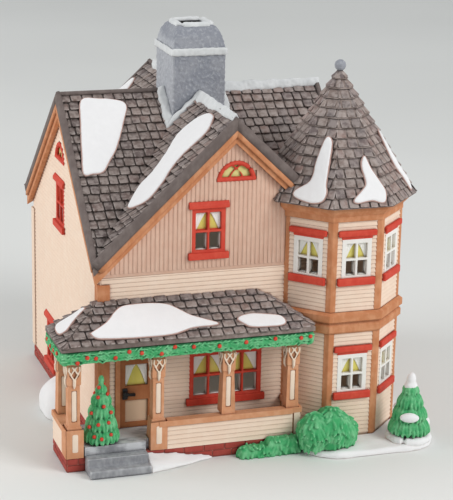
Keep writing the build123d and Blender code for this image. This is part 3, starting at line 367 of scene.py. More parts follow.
@dataclass(frozen=True)
class StuccoPaint(Paint):
    """Blue-grey paint on stippled stucco, rubbed pale with painted highlight on the stipple, and painted
    light on the left face.
    """

    deep: Colour = (120, 125, 137)
    painted_light_from_x: float = -12.6
    painted_light_full_x: float = -13.6
    painted_light: float = 0.4

    def tint(self, graph: Graph) -> Wire:
        """Grey by the height of the stipple and by place."""
        # Rubbed paint and painted highlight on the high points of the stipple.
        rubbed_and_highlight = graph.rise(self.relief(graph), 0.50, 0.68)
        clouded = graph.mix(graph.rise(graph.noise(9.0), 0.35, 0.65) * 0.4, self.colour, self.deep)
        # Painted light: the left face of the chimney turns paler.
        painted_light_share = graph.rise(graph.axis("X"), self.painted_light_from_x, self.painted_light_full_x) * self.painted_light
        return graph.mix(rubbed_and_highlight * 0.3 + painted_light_share, clouded, self.pale)

    def relief(self, graph: Graph) -> Wire:
        """Stippled stucco."""
        return graph.noise(1.5, detail=4.0)


@dataclass(frozen=True)
class StonePaint(Paint):
    """Grey paint with painted highlight along the edges."""

    def tint(self, graph: Graph) -> Wire:
        """Grey, with painted highlight where an edge stands out."""
        sharp = graph.sharpness()
        base = Paint.tint(self, graph)
        brushed = graph.rise(graph.noise(3.5, detail=4.0, stretch=(0.4, 1, 1)), 0.36, 0.60)
        # Painted highlight: paler grey along the edges that stand out.
        return graph.mix(graph.rise(sharp, 0.52, 0.58) * brushed * 0.85, base, self.pale)


@dataclass(frozen=True)
class DoorPaint(Paint):
    """Brown door paint with a cream sunk panel."""

    panel: Colour = (222, 190, 160)
    panel_left: float = -53.3
    panel_right: float = -41.9
    panel_low: float = 14.6
    panel_high: float = 26.0
    fade: float = 0.15

    def within(self, graph: Graph, letter: str, low: float, high: float) -> Wire:
        """One between two limits on an axis, nought outside them."""
        middle, half = (low + high) / 2, (high - low) / 2
        return graph.rise(abs(graph.axis(letter) - middle), half, half - self.fade)

    def tint(self, graph: Graph) -> Wire:
        """Brown with the panel's paint inside its edges."""
        across = self.within(graph, "X", self.panel_left, self.panel_right)
        up = self.within(graph, "Z", self.panel_low, self.panel_high)
        return graph.mix(across * up, Paint.tint(self, graph), self.panel)


@dataclass(frozen=True)
class Smooth:
    """Moulded or metal finish of the lamp."""

    name: str
    colour: Colour
    roughness: float
    metallic: float = 0.0
    clear: float = 0.0
    haze: float = 0.97
    roughness_spread: float = 0.14

    def make(self) -> bpy.types.Material:
        """Build the material."""
        graph = Graph(self.name)
        clouds = graph.noise(9.0, detail=2.0)
        dark = tuple(channel * self.haze for channel in self.colour)
        colour = graph.mix(graph.rise(clouds, 0.35, 0.70), dark, self.colour)
        rough = clouds * self.roughness_spread + (self.roughness - self.roughness_spread / 2)
        fixed = {"Metallic": self.metallic, "Transmission Weight": self.clear}
        return graph.finish(colour, graph.noise(0.6, detail=2.0), 0.01, fixed, {"Roughness": rough})


class Finish(Enum):
    """Finishes of the house, named for what they cover."""

    SIDING = WallPaint("siding_cream", (240, 215, 193), (150, 98, 72), (247, 229, 210))
    FRONT = WallPaint("siding_front", (240, 215, 193), (140, 88, 66), (247, 229, 210), gable_low=89.5)
    CREAM = Paint("boards_cream", (241, 215, 193), (138, 84, 60), (248, 230, 212), painted_shade_depth=1.0,
                  painted_shade_reach=1.5)
    TAN = Paint("boards_tan", (218, 179, 157), (140, 94, 74), (234, 205, 184), painted_shade_reach=1.3)
    SHINGLE = ShinglePaint("shingle_slate", (132, 116, 109), (32, 27, 26), (204, 192, 186), painted_shade_depth=0.85,
                           painted_shade_reach=1.5)
    VERGE = Paint("verge_slate", (106, 94, 90), (48, 40, 39), (146, 134, 128))
    TRIM = Paint("brown_trim", (196, 128, 86), (92, 46, 27), (224, 166, 126), drift=0.55)
    POST = Paint("post_brown", (208, 146, 106), (118, 62, 38), (228, 176, 142), drift=0.5)
    CORNER = CornerPaint("corner_brown", (190, 120, 78), (92, 46, 27), (220, 160, 120), drift=0.55)
    WORN = SnowPaint("worn_snow", (212, 214, 214), (138, 140, 146), (228, 229, 229), drift=0.7,
                     painted_shade_reach=1.4)
    RED = Paint("red_window", (206, 64, 46), (116, 28, 20), (230, 104, 80), roughness=0.62)
    SASH = Paint("white_sash", (238, 235, 229), (160, 136, 116), (246, 244, 240))
    STUCCO = StuccoPaint("stucco_grey", (154, 156, 163), (80, 84, 94), (204, 206, 210), grain=0.5)
    SNOW = SnowPaint("white_snow", (238, 237, 237), (206, 176, 166), (244, 243, 243), painted_shade_depth=0.4,
                     painted_shade_reach=0.7, grain=0.05)
    SNOW_EDGE = Paint("snow_edge", (186, 152, 142), (120, 88, 80), (206, 178, 168))
    BRICK = Paint("red_brick", (160, 64, 55), (74, 26, 23), (186, 94, 80))
    MORTAR = Paint("mortar_pink", (176, 104, 90), (104, 46, 40), (196, 132, 116))
    STONE = StonePaint("step_grey", (138, 139, 143), (62, 62, 68), (212, 213, 215))
    SOOT = Paint("flue_painted_shade", (44, 42, 42), (14, 13, 13), (66, 63, 62))
    LEAF = LeafPaint("leaf_green", (60, 164, 100), (20, 80, 50), (150, 218, 166), drift=0.55, painted_shade_depth=0.85,
                     painted_shade_reach=1.7)
    BERRY = Paint("berry_red", (214, 62, 42), (126, 30, 22), (234, 108, 84), roughness=0.5)
    DOOR = DoorPaint("brown_door", (166, 102, 62), (82, 42, 25), (194, 132, 90))
    GLOW = Paint("pane_yellow", (222, 210, 104), (170, 146, 66), (238, 230, 158))
    FAN = Paint("fan_yellow", (222, 214, 136), (160, 142, 76), (236, 230, 176))
    CURTAIN = Paint("curtain_white", (240, 239, 233), (192, 180, 154), (247, 246, 243), painted_shade_reach=0.8)
    PANEL = Paint("panel_cream", (240, 218, 196), (170, 116, 86), (248, 232, 216))
    BLACK = Paint("black_lock", (40, 38, 39), (14, 13, 13), (78, 74, 74), roughness=0.5)
    BISQUE = Paint("raw_bisque", (228, 222, 210), (170, 156, 138), (238, 234, 226))
    PLASTIC = Smooth("white_plastic", (234, 232, 226), 0.42)
    STEEL = Smooth("sprung_steel", (172, 174, 178), 0.34, metallic=1.0)
    BRASS = Smooth("cap_brass", (206, 176, 104), 0.36, metallic=1.0)
    GLASS = Smooth("clear_glass", (246, 246, 242), 0.07, clear=0.92)

    def material(self) -> bpy.types.Material:
        """Material of this finish, made once."""
        return bpy.data.materials.get(self.value.name) or self.value.make()


@dataclass(frozen=True)
class Facing:
    """Flat working plane: an origin, two directions in it and the direction out of it."""

    origin: Vector
    across: Vector
    up: Vector
    out: Vector

    def at(self, x: float, y: float, z: float = 0.0) -> Vector:
        """Point by its three distances in the plane's own directions."""
        return self.origin + self.across * x + self.up * y + self.out * z

    def moved(self, x: float, y: float, z: float = 0.0) -> "Facing":
        """The same plane from another origin."""
        return Facing(self.at(x, y, z), self.across, self.up, self.out)


def upright(origin: Sequence[float], out: Sequence[float]) -> Facing:
    """Upright plane seen from outside, its first direction to the right."""
    normal = Vector(out)
    return Facing(Vector(origin), UP.cross(normal), UP, normal)


def clipped(outline: Outline, region: Outline) -> Outline:
    """Part of an outline that lies inside a convex region.

    Args:
        outline: Convex outline.
        region: Convex outline listed anticlockwise.

    Returns:
        The outline that is left, empty where none is.
    """
    for (ax, ay), (bx, by) in zip(region, region[1:] + region[:1]):
        kept: Outline = []
        sides = [(bx - ax) * (y - ay) - (by - ay) * (x - ax) for x, y in outline]
        for index, (point, side) in enumerate(zip(outline, sides)):
            before, before_side = outline[index - 1], sides[index - 1]
            if side * before_side < 0:
                share = before_side / (before_side - side)
                kept.append(tuple(b + (p - b) * share for p, b in zip(point, before)))
            if side >= 0:
                kept.append(point)
        outline = kept
    return outline


def area(outline: Outline) -> float:
    """Area of an outline, positive where it runs anticlockwise."""
    pairs = zip(outline, outline[1:] + outline[:1])
    return sum(ax * by - bx * ay for (ax, ay), (bx, by) in pairs) / 2


def box(left: float, low: float, right: float, high: float) -> Outline:
    """Rectangle, listed anticlockwise."""
    return [(left, low), (right, low), (right, high), (left, high)]


def cut_corners(left: float, low: float, right: float, high: float, cut: float) -> Outline:
    """Rectangle with its corners cut off, listed anticlockwise."""
    return [(left + cut, low), (right - cut, low), (right, low + cut), (right, high - cut),
            (right - cut, high), (left + cut, high), (left, high - cut), (left, low + cut)]


def turns(count: int) -> list[float]:
    """Angles that share out a full turn."""
    return [2 * math.pi * part / count for part in range(count)]


def egg(wide: float, tall: float) -> tuple[Vector, Vector, Vector]:
    """Half axes of an upright egg shape."""
    return Vector((wide, 0, 0)), Vector((0, wide, 0)), UP * tall


def inset(outline: Outline, step: float) -> Outline:
    """Move an outline's edges inwards.

    Args:
        outline: Outline listed anticlockwise.
        step: Distance that the edges move, below zero for outwards.

    Returns:
        An outline with as many points.
    """
    sharpest = 0.8
    moved: Outline = []
    points = [Vector(point) for point in outline]
    for before, here, after in zip(points[-1:] + points[:-1], points, points[1:] + points[:1]):
        turn = (here - before).normalized() + (after - here).normalized()
        reach = 2 * step / max(turn.length_squared, sharpest)
        moved.append((here.x - turn.y * reach, here.y + turn.x * reach))
    return moved


def curved(outline: Outline, parts: int = 4) -> Outline:
    """Smooth closed curve through an outline's points, listed anticlockwise."""
    points = [Vector(point) for point in (outline if area(outline) > 0 else outline[::-1])]
    count = len(points)
    found: Outline = []
    for index in range(count):
        a, b, c, d = (points[(index + shift) % count] for shift in (-1, 0, 1, 2))
        for part in range(parts):
            t = part / parts
            bend = (a * 2 - b * 5 + c * 4 - d) * (t * t / 2) + (b * 3 - a - c * 3 + d) * (t ** 3 / 2)
            spot = b + (c - a) * (t / 2) + bend
            found.append((spot.x, spot.y))
    return found


class Clay:
    """Mesh in the making, with a tone and an edge share kept at each point; the shingle paint lightens the
    edge share as rubbed paint and painted highlight.
    """

    def __init__(self) -> None:
        """Start with nothing."""
        self.points: list[Vector] = []
        self.faces: list[tuple[int, ...]] = []
        self.tones: list[float] = []
        self.edges: list[float] = []

    def skin(self, rings: Sequence[Sequence[Vector]], tone: float = 0.5,
             edges: Sequence[float] | None = None) -> None:
        """Closed skin over rings of equal count, with flat ends.

        Args:
            rings: Rings of points in order.
            tone: Tone kept at every point.
            edges: Edge share of each ring, lightened by the shingle paint as rubbed paint and painted
                highlight.
        """
        start, count = len(self.points), len(rings[0])
        for index, ring in enumerate(rings):
            self.points.extend(ring)
            self.tones.extend([tone] * count)
            self.edges.extend([edges[index] if edges else 0.0] * count)
        self.faces.append(tuple(start + i for i in reversed(range(count))))
        last = start + count * (len(rings) - 1)
        self.faces.append(tuple(last + i for i in range(count)))
        for ring in range(len(rings) - 1):
            for i in range(count):
                j = (i + 1) % count
                low, high = start + ring * count, start + (ring + 1) * count
                self.faces.append((low + i, low + j, high + j, high + i))

    def slab(self, facing: Facing, outline: Outline, low: float, top: float | Callable[[float, float], float],
             bevel: float, tone: float = 0.5) -> None:
        """Slab with a soft upper edge.

        Args:
            facing: Plane that it lies on.
            outline: Convex outline in the plane.
            low: Height of its underside over the plane.
            top: Height of its upper side, the same all over or by place.
            bevel: Width of the soft edge.
            tone: Tone kept at its points.
        """
        limit = 0.3 * math.sqrt(abs(area(outline)))
        heights = [top(x, y) if callable(top) else top for x, y in outline]
        rings = []
        for share, drop in ((0.0, None), (0.0, bevel), (0.35, bevel * 0.3), (1.0, 0.0)):
            shape = inset(outline, min(bevel * share, limit))
            rings.append([facing.at(x, y, low if drop is None else height - drop)
                          for (x, y), height in zip(shape, heights)])
        self.skin(rings, tone, (0.0, 0.3, 1.0, 0.35))

    def blob(self, centre: Vector, axes: Sequence[Vector], tone: float = 0.5, rings: int = 6,
             around: int = 10) -> None:
        """Egg shape by the three half axes from its centre, cut flat just short of its ends."""
        end = 0.04
        loops = []
        for ring in range(rings + 1):
            angle = math.pi * (end + (1 - 2 * end) * ring / rings)
            flat, tall = math.sin(angle), -math.cos(angle)
            level = centre + axes[2] * tall
            loops.append([level + axes[0] * (flat * math.cos(turn)) + axes[1] * (flat * math.sin(turn))
                          for turn in turns(around)])
        self.skin(loops, tone)

    def bar(self, points: Sequence[Vector], radii: Sequence[float], around: int = 8) -> None:
        """Round bar through points, with a radius at each."""
        loops = []
        for index, point in enumerate(points):
            ahead = points[min(index + 1, len(points) - 1)] - points[max(index - 1, 0)]
            side = ahead.orthogonal().normalized()
            rise = ahead.cross(side).normalized()
            loops.append([point + (side * math.cos(turn) + rise * math.sin(turn)) * radii[index]
                          for turn in turns(around)])
        self.skin(loops)

    def mesh(self) -> bpy.types.Mesh:
        """Mesh in metres with outward faces."""
        made = bpy.data.meshes.new("clay")
        made.from_pydata([point * MM for point in self.points], [], self.faces)
        for key, values in (("tone", self.tones), ("edge", self.edges)):
            made.attributes.new(key, "FLOAT", "POINT").data.foreach_set("value", values)
        work = bmesh.new()
        work.from_mesh(made)
        bmesh.ops.recalc_face_normals(work, faces=work.faces)
        work.to_mesh(made)
        work.free()
        return made


def shown(mesh: bpy.types.Mesh, name: str, finish: Finish, nodes: Iterable[str] = (),
          smooth: bool = True) -> bpy.types.Object:
    """Put a mesh in the scene as a piece of the house.

    Args:
        mesh: Finished mesh.
        name: Name of the piece.
        finish: Its finish.
        nodes: Frame nodes that it stands for.
        smooth: Whether its faces shade smoothly.

    Returns:
        The piece.
    """
    mesh.name = name
    mesh.materials.clear()
    mesh.materials.append(finish.material())
    mesh.shade_smooth() if smooth else mesh.shade_flat()
    piece = bpy.data.objects.new(name, mesh)
    bpy.context.scene.collection.objects.link(piece)
    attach(piece, HOUSE)
    if nodes:
        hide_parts(*nodes)
    LOG.info("piece %s: %d faces", name, len(mesh.polygons))
    return piece


def soften(piece: bpy.types.Object, width: float = 0.28) -> None:
    """Round a piece's edges with modifiers, leaving its own mesh as it is."""
    weld = piece.modifiers.new("weld", "WELD")
    weld.merge_threshold = 1e-6
    bevel = piece.modifiers.new("soft_edges", "BEVEL")
    bevel.width = width * MM
    bevel.segments = 2
    bevel.limit_method = "ANGLE"
    bevel.angle_limit = math.radians(30)
    bevel.use_clamp_overlap = True


def cast(mesh: bpy.types.Mesh, voxel: float, smoothing: int, swell: float = 0.0) -> bpy.types.Mesh:
    """One skin round all the solids of a mesh, softened as a casting is.

    Args:
        mesh: Closed solids that may overlap.
        voxel: Size of the skin's faces in millimetres.
        smoothing: Passes of smoothing.
        swell: Growth along the skin's own direction in millimetres.

    Returns:
        The new mesh.
    """
    work = bpy.data.objects.new("casting", mesh)
    bpy.context.scene.collection.objects.link(work)
    skin = work.modifiers.new("skin", "REMESH")
    skin.mode = "VOXEL"
    skin.voxel_size = voxel * MM
    smooth = work.modifiers.new("smooth", "SMOOTH")
    smooth.iterations = smoothing
    smooth.factor = 0.5
    if swell:
        grow = work.modifiers.new("grow", "DISPLACE")
        grow.strength = swell * MM
        grow.mid_level = 0.0
    graph = bpy.context.evaluated_depsgraph_get()
    made = bpy.data.meshes.new_from_object(work.evaluated_get(graph))
    bpy.data.objects.remove(work)
    return made


def grounded(mesh: bpy.types.Mesh) -> bpy.types.Mesh:
    """The same mesh with nothing below the ground."""
    for vertex in mesh.vertices:
        vertex.co.z = max(vertex.co.z, 0.0)
    return mesh


def snow_patches(patches: Iterable[tuple[Facing, Outline]], node: str) -> None:
    """Flat patches of snow with soft edges, each inside a thin warm line.

    Args:
        patches: Slope and outline of each patch.
        node: Frame node that they stand for.
    """
    snow_low, snow_high, line_high, line_width = 0.1, 2.15, 1.6, 0.42
    snow, line = Clay(), Clay()
    for facing, outline in patches:
        shape = curved(outline)
        snow.slab(facing, shape, snow_low, snow_high, 0.5)
        line.slab(facing, inset(shape, -line_width), 0.0, line_high, 0.15)
    body = roughened(cast(snow.mesh(), voxel=0.36, smoothing=3), grain=4.0, depth=0.16)
    shown(body, f"{node}_cover", Finish.SNOW, [node])
    shown(line.mesh(), f"{node}_line", Finish.SNOW_EDGE)


def kept(mesh: bpy.types.Mesh, test: Callable[[Vector], bool]) -> bpy.types.Mesh:
    """The same mesh with only the points that pass a test, in millimetres."""
    work = bmesh.new()
    work.from_mesh(mesh)
    unwanted = [vertex for vertex in work.verts if not test(vertex.co / MM)]
    bmesh.ops.delete(work, geom=unwanted, context="VERTS")
    work.to_mesh(mesh)
    work.free()
    return mesh


def touching(mesh: bpy.types.Mesh) -> Callable[[Vector, Vector], Vector]:
    """Finder of the place where a line from a point first meets a mesh, in millimetres."""
    faces = [face.vertices for face in mesh.polygons]
    tree = BVHTree.FromPolygons([vertex.co for vertex in mesh.vertices], faces)

    def touch(start: Vector, ahead: Vector) -> Vector:
        """First place met on the way ahead."""
        hit = tree.ray_cast(start * MM, ahead)[0]
        return hit / MM if hit else start + ahead * CLEAR_OF_ALL
    return touch


def from_node(node: str) -> bpy.types.Mesh:
    """Copy of a frame node's mesh."""
    return frame["nodes"][node].data.copy()


def roughened(mesh: bpy.types.Mesh, grain: float, depth: float, seed: int = 0) -> bpy.types.Mesh:
    """Push a mesh's points in and out by smooth noise.

    Args:
        mesh: Fine mesh.
        grain: Size of the lumps in millimetres.
        depth: Greatest push in millimetres.
        seed: Offset of the noise.

    Returns:
        The same mesh.
    """
    shift = Vector((seed * 3.7, seed * 1.9, seed * 5.3))
    normals = [vertex.normal.copy() for vertex in mesh.vertices]
    for vertex, normal in zip(mesh.vertices, normals):
        vertex.co += normal * (noise.noise(vertex.co / (grain * MM) + shift) * depth * MM)
    return mesh


def crusted(mesh: bpy.types.Mesh, grain: float, depth: float) -> bpy.types.Mesh:
    """Roughen a mesh as old snow is, with fine lumps over the coarse ones."""
    return roughened(roughened(mesh, grain, depth), grain=1.8, depth=0.2, seed=2)


@dataclass
class Courses:
    """Shingles laid in level courses over one flat slope."""

    facing: Facing
    region: Outline
    count: int
    length: float
    width: float = 5.4
    gap: float = 0.76
    butt: float = 1.5
    tip: float = 0.35
    bevel: float = 0.36
    corner: float = 0.34
    lap: float = 0.3
    sunk: float = 0.6
    lean: float = 0.12
    least_area: float = 1.6

    def lay(self, clay: Clay, seed: int, keep: Callable[[Vector], bool]) -> None:
        """Add the shingles.

        Args:
            clay: Mesh that takes them.
            seed: Start of the draws that vary them.
            keep: Whether a shingle at a place is wanted.
        """
        draw = random.Random(seed)
        exposure = self.length / self.count
        left = min(x for x, _ in self.region)
        right = max(x for x, _ in self.region)
        for course in range(self.count):
            low = course * exposure
            start = left - self.width * draw.uniform(0.1, 0.9)
            while start < right:
                wide = self.width * draw.uniform(0.84, 1.16)
                self.shingle(clay, draw, keep, start, low, wide, exposure)
                start += wide

    def shingle(self, clay: Clay, draw: random.Random, keep: Callable[[Vector], bool], left: float,
                low: float, wide: float, exposure: float) -> None:
        """Add one shingle, trimmed to the slope."""
        drop = draw.uniform(-0.25, 0.2)
        lift = draw.uniform(-0.16, 0.2)
        lean = draw.uniform(-self.lean, self.lean)
        tone = draw.random()
        high = low + exposure + self.lap
        outline = cut_corners(left, low + drop, left + wide - self.gap, high, self.corner)
        outline = clipped([(x, y + lean * (x - left) / wide) for x, y in outline], self.region)
        if len(outline) < 3 or area(outline) < self.least_area:
            return
        if not keep(self.facing.at(left + wide / 2, low + exposure / 2)):
            return

        def top(x: float, y: float) -> float:
            """Height of the shingle at a place."""
            share = min(max((y - low) / exposure, 0), 1)
            return self.butt + lift + lean * 2 * ((x - left) / wide - 0.5) + (self.tip - self.butt) * share

        clay.slab(self.facing, outline, -self.sunk, top, self.bevel, tone)


@dataclass
class Boards:
    """Boards laid side by side over one flat wall and stopped at its openings."""

    facing: Facing
    region: Outline
    holes: list[Hole]
    pitch: float
    butt: float
    tip: float
    gap: float = 0.0
    standing: bool = False
    bevel: float = 0.16
    far: float = 500.0
    sunk: float = 0.4
    least_area: float = 0.4

    def lay(self, clay: Clay, draw: random.Random) -> None:
        """Add the boards, from the lowest or the leftmost one on."""
        axis = 0 if self.standing else 1
        first = min(point[axis] for point in self.region)
        last = max(point[axis] for point in self.region)
        for number in range(math.ceil((last - first) / self.pitch)):
            self.board(clay, first + number * self.pitch, draw.random())

    def board(self, clay: Clay, start: float, tone: float) -> None:
        """Add one board in the lengths that the openings leave."""
        end = start + self.pitch - self.gap
        margin = self.pitch / 4
        holes = [(a, c, b, d) if self.standing else (b, d, a, c) for a, b, c, d in self.holes]
        blocked = sorted(hole[2:] for hole in holes if hole[0] < end - margin and hole[1] > start + margin)
        begin = -self.far
        for low, high in [*blocked, (self.far, self.far)]:
            corners = box(begin, start, low, end)
            if self.standing:
                corners = [(y, x) for x, y in reversed(corners)]
            outline = clipped(corners, self.region) if low > begin else []
            begin = max(begin, high)
            if len(outline) > 2 and area(outline) > self.least_area:
                clay.slab(self.facing, outline, -self.sunk, self.rise_from(start), self.bevel, tone)

    def rise_from(self, start: float) -> Callable[[float, float], float]:
        """Height of a board that begins at a place."""
        def top(x: float, y: float) -> float:
            """Height of the board at a place."""
            share = ((x if self.standing else y) - start) / self.pitch
            return self.butt + (self.tip - self.butt) * share
        return top


@dataclass
class MainRoof:
    """Cross-gable roof: shingles on eight slopes, verges, ridge rolls, chimney and snow."""

    wall_half_x: float = WALL_HALF_X
    wall_half_y: float = WALL_HALF_Y
    overhang: float = OVERHANG
    eave: float = ROOF_EAVE
    ridge: float = ROOF_RIDGE
    courses: int = 20
    chimney_half_x: float = 13.8
    chimney_half_y: float = 15.2
    band_low: float = 180.0
    rim_half: float = 8.3
    rim_level: float = 197.9
    rim_radius: float = 1.75
    flue_half: float = 6.0
    flue_low: float = 152.0
    flue_high: float = 198.0
    verge_width: float = 2.3
    verge_drop: float = 3.1
    verge_steps: int = 24
    roll_radius: float = 1.25
    roll_lift: float = 0.5
    roll_stop: float = 16.0
    roll_steps: int = 12
    strip_steps: int = 14

    def sides(self) -> dict[str, tuple[Facing, float, float]]:
        """Upright plane, half span and run of each gable."""
        x, y = self.wall_half_x, self.wall_half_y
        return {
            "front": (upright((0, -y, 0), (0, -1, 0)), x + self.overhang, y),
            "back": (upright((0, y, 0), (0, 1, 0)), x + self.overhang, y),
            "left": (upright((-x, 0, 0), (-1, 0, 0)), y + self.overhang, x),
            "right": (upright((x, 0, 0), (1, 0, 0)), y + self.overhang, x),
        }

    def slope(self, side: str, hand: int) -> tuple[Facing, float, float]:
        """Plane of one slope from its eave corner, its depth inwards and its length up."""
        wall, span, run = self.sides()[side]
        rise = self.ridge - self.eave
        length = math.hypot(span, rise)
        up = (wall.across * (-hand * span) + UP * rise) / length
        out = (wall.across * (hand * rise) + UP * span) / length
        corner = wall.at(hand * span, self.eave, self.overhang)
        return Facing(corner, -wall.out, up, out), run + self.overhang, length

    def clear(self, tower: "Tower") -> Callable[[Vector], bool]:
        """Test for places on the roof that the chimney and the tower leave free."""
        def free(place: Vector) -> bool:
            """Whether a place is clear of both."""
            by_chimney = abs(place.x) < self.chimney_half_x and abs(place.y) < self.chimney_half_y
            return not by_chimney and not tower.holds(place)
        return free

    def shingle(self, tower: "Tower") -> None:
        """Lay the shingles of the eight slopes."""
        free = self.clear(tower)
        for number, side in enumerate(self.sides()):
            clay = Clay()
            for hand in (-1, 1):
                facing, depth, length = self.slope(side, hand)
                edge = self.verge_width - 0.4
                region = [(edge, edge * length / depth), (depth - 0.2, length - 0.2), (edge, length - 0.2)]
                Courses(facing, region, self.courses, length).lay(clay, 11 * number + hand, free)
            shown(clay.mesh(), f"{side}_shingles", Finish.SHINGLE)

    def verges(self, tower: "Tower") -> None:
        """Rounded bands along the gable ends of the roof, and the boards below them."""
        section = [(-0.45, -self.verge_drop), (-0.6, -1.0), (-0.45, 0.6), (0.2, 1.45), (1.3, 1.6),
                   (self.verge_width, 1.2), (self.verge_width, -1.2), (0.4, -self.verge_drop)]
        lower = [(0.5, -5.6), (-0.4, -5.5), (-0.55, -5.0), (-0.5, -3.4), (-0.2, -2.9), (0.9, -2.8),
                 (0.9, -5.6)]
        clay, boards = Clay(), Clay()
        for side in self.sides():
            for hand in (-1, 1):
                facing, _, length = self.slope(side, hand)
                lean = abs(facing.out.x + facing.out.y) / facing.out.z
                rings, lower_rings = [], []
                for step in range(self.verge_steps + 1):
                    along = length * step / self.verge_steps
                    place = facing.at(0, along)
                    if tower.holds(place):
                        continue
                    wobble = 0.12 * noise.noise(place * 0.12)
                    share = step / self.verge_steps
                    rings.append([facing.at(a, along + h * lean * share, h + wobble) for a, h in section])
                    lower_rings.append([facing.at(a, along + h * lean * share, h) for a, h in lower])
                clay.skin(rings)
                boards.skin(lower_rings)
        shown(clay.mesh(), "roof_verges", Finish.VERGE)
        shown(boards.mesh(), "verge_boards", Finish.TRIM)

    def ridge_roll(self) -> None:
        """Rounded roll along each ridge, bare on the left and under snow on the others."""
        clay = Clay()
        for wall, _, run in self.sides().values():
            start, end = self.overhang, -run + self.roll_stop
            points = [wall.at(0, self.ridge + self.roll_lift, start + (end - start) * step / self.roll_steps)
                      for step in range(self.roll_steps + 1)]
            clay.bar(points, [self.roll_radius] * len(points), around=10)
        shown(clay.mesh(), "ridge_rolls", Finish.VERGE)

    def chimney(self) -> None:
        """Stippled stack with a tapering cap, its pale rim and dark painted shade inside its flue."""
        half_x, half_y, flue = self.chimney_half_x, self.chimney_half_y, self.flue_half
        levels = ((half_x, half_y, 132.0), (half_x, half_y, 187.3), (13.5, 14.8, 188.2), (13.2, 14.2, 190.4),
                  (12.4, 13.0, 193.4), (11.1, 11.4, 196.0), (9.8, 9.8, 197.6), (7.0, 7.0, self.flue_high),
                  (6.1, 6.1, 197.2), (flue, flue, 150.0))
        stack, rim, flue_shade = Clay(), Clay(), Clay()
        stack.skin([[Vector((px, py, z)) for px, py in box(-x, -y, x, y)] for x, y, z in levels])
        body = cast(stack.mesh(), voxel=0.5, smoothing=2)
        roughened(roughened(body, grain=1.7, depth=0.3), grain=0.9, depth=0.12, seed=3)
        shown(body, "chimney_stucco", Finish.STUCCO, ["chimney"])
        loop = cut_corners(-self.rim_half, -self.rim_half, self.rim_half, self.rim_half, 1.6)
        edge = [Vector((x, y, self.rim_level)) for x, y in loop + loop[:2]]
        rim.bar(edge, [self.rim_radius] * len(edge), around=10)
        worn = roughened(cast(rim.mesh(), voxel=0.4, smoothing=6), grain=2.5, depth=0.35)
        shown(worn, "chimney_rim", Finish.WORN)
        # Painted shade: dark sheets line the flue where it lies in shade.
        lining = box(-flue, self.flue_low, flue, self.flue_high)
        for turn in range(4):
            spin = Matrix.Rotation(turn * math.pi / 2, 3, "Z")
            wall = upright(spin @ Vector((0, flue + 0.02, 0)), spin @ Vector((0, -1, 0)))
            flue_shade.slab(wall, lining, low=-0.1, top=0.25, bevel=0.05)
        shown(flue_shade.mesh(), "flue_shade_lining", Finish.SOOT)

    def patches(self) -> list[tuple[Facing, Outline]]:
        """Slope and outline of each patch of snow."""
        left = [(11.7, 96.8), (19.7, 97.4), (30.0, 95.8), (33.9, 92.4), (31.5, 84.8), (24.5, 67.9),
                (18.8, 58.9), (14.4, 52.8), (9.1, 51.9), (4.7, 52.2), (6.1, 64.4), (8.9, 83.0)]
        front = [(30.8, 91.3), (24.3, 91.8), (20.4, 89.8), (15.0, 82.8), (16.4, 68.5), (14.1, 58.9),
                 (9.5, 51.0), (7.3, 40.6), (13.5, 33.4), (18.6, 31.3), (22.0, 34.6), (27.4, 42.2),
                 (28.5, 52.3), (33.3, 63.0), (39.6, 73.1), (39.3, 81.5), (36.0, 87.2)]
        back = [(38.5, 86.9), (33.0, 64.0), (18.5, 50.2), (12.3, 63.7), (20.0, 83.0)]
        right = [(28.0, 91.6), (26.6, 65.1), (14.0, 44.8), (7.0, 65.1), (11.2, 87.5)]
        far = [(3.6, 82.8), (7.3, 83.2), (11.4, 75.7), (13.2, 68.0), (12.0, 55.0), (8.0, 46.0), (4.4, 48.0),
               (2.8, 60.0), (1.6, 72.7)]
        placed = (("left", 1, left), ("front", -1, front), ("back", -1, back), ("back", 1, far),
                  ("right", 1, right))
        return [(self.slope(side, hand)[0], outline) for side, hand, outline in placed]

    def ridges(self) -> None:
        """Soft strips of snow along three of the ridges, narrower towards the far end."""
        clay = Clay()
        for side, start, end, half, lean in (("front", 14.5, 75.0, 3.6, 0.9), ("back", 14.5, 68.0, 3.2, 0.0),
                                             ("right", 13.0, 70.0, 2.7, 0.0)):
            wall, span, run = self.sides()[side]
            fall = (self.ridge - self.eave) / span
            rings = []
            for step in range(self.strip_steps + 1):
                share = step / self.strip_steps
                wide = half * (1 - 0.6 * share ** 2) * (1 + 0.3 * noise.noise(Vector((share * 7, half, 0))))
                place = wall.moved(0, self.ridge, start - run + (end - start) * share)
                over = [(wide * part / 4, 3.5 - 1.5 * (part / 4) ** 2) for part in range(-4, 5)]
                under = [(wide * part / 4, 0.2) for part in range(4, -5, -1)]
                aside = lean * min(1.0, 1.6 * share) * (1 - share ** 4)
                rings.append([place.at(x + aside, lift - fall * abs(x + aside)) for x, lift in over + under])
            clay.skin(rings)
        body = crusted(cast(clay.mesh(), voxel=0.4, smoothing=6), grain=6.0, depth=0.7)
        shown(body, "ridge_snow_cover", Finish.WORN, ["ridge_snow"])

    def snow(self) -> None:
        """Patches on the slopes, strips along the ridges, and a band and a skirt round the chimney."""
        snow_patches(self.patches(), "roof_snow")
        self.ridges()
        band = kept(from_node("chimney_snow"), lambda place: place.z > self.band_low)
        skirt = kept(from_node("chimney_snow"), lambda place: place.z < self.band_low)
        band = roughened(cast(band, voxel=0.4, smoothing=5), grain=2.2, depth=0.4)
        shown(band, "chimney_band", Finish.WORN, ["chimney_snow"])
        skirt = crusted(cast(skirt, voxel=0.4, smoothing=6, swell=1.1), grain=5.0, depth=0.7)
        shown(skirt, "chimney_skirt", Finish.WORN)

    def dress(self, tower: "Tower") -> None:
        """Make all the pieces of the roof."""
        self.shingle(tower)
        self.verges(tower)
        self.ridge_roll()
        self.chimney()
        self.snow()


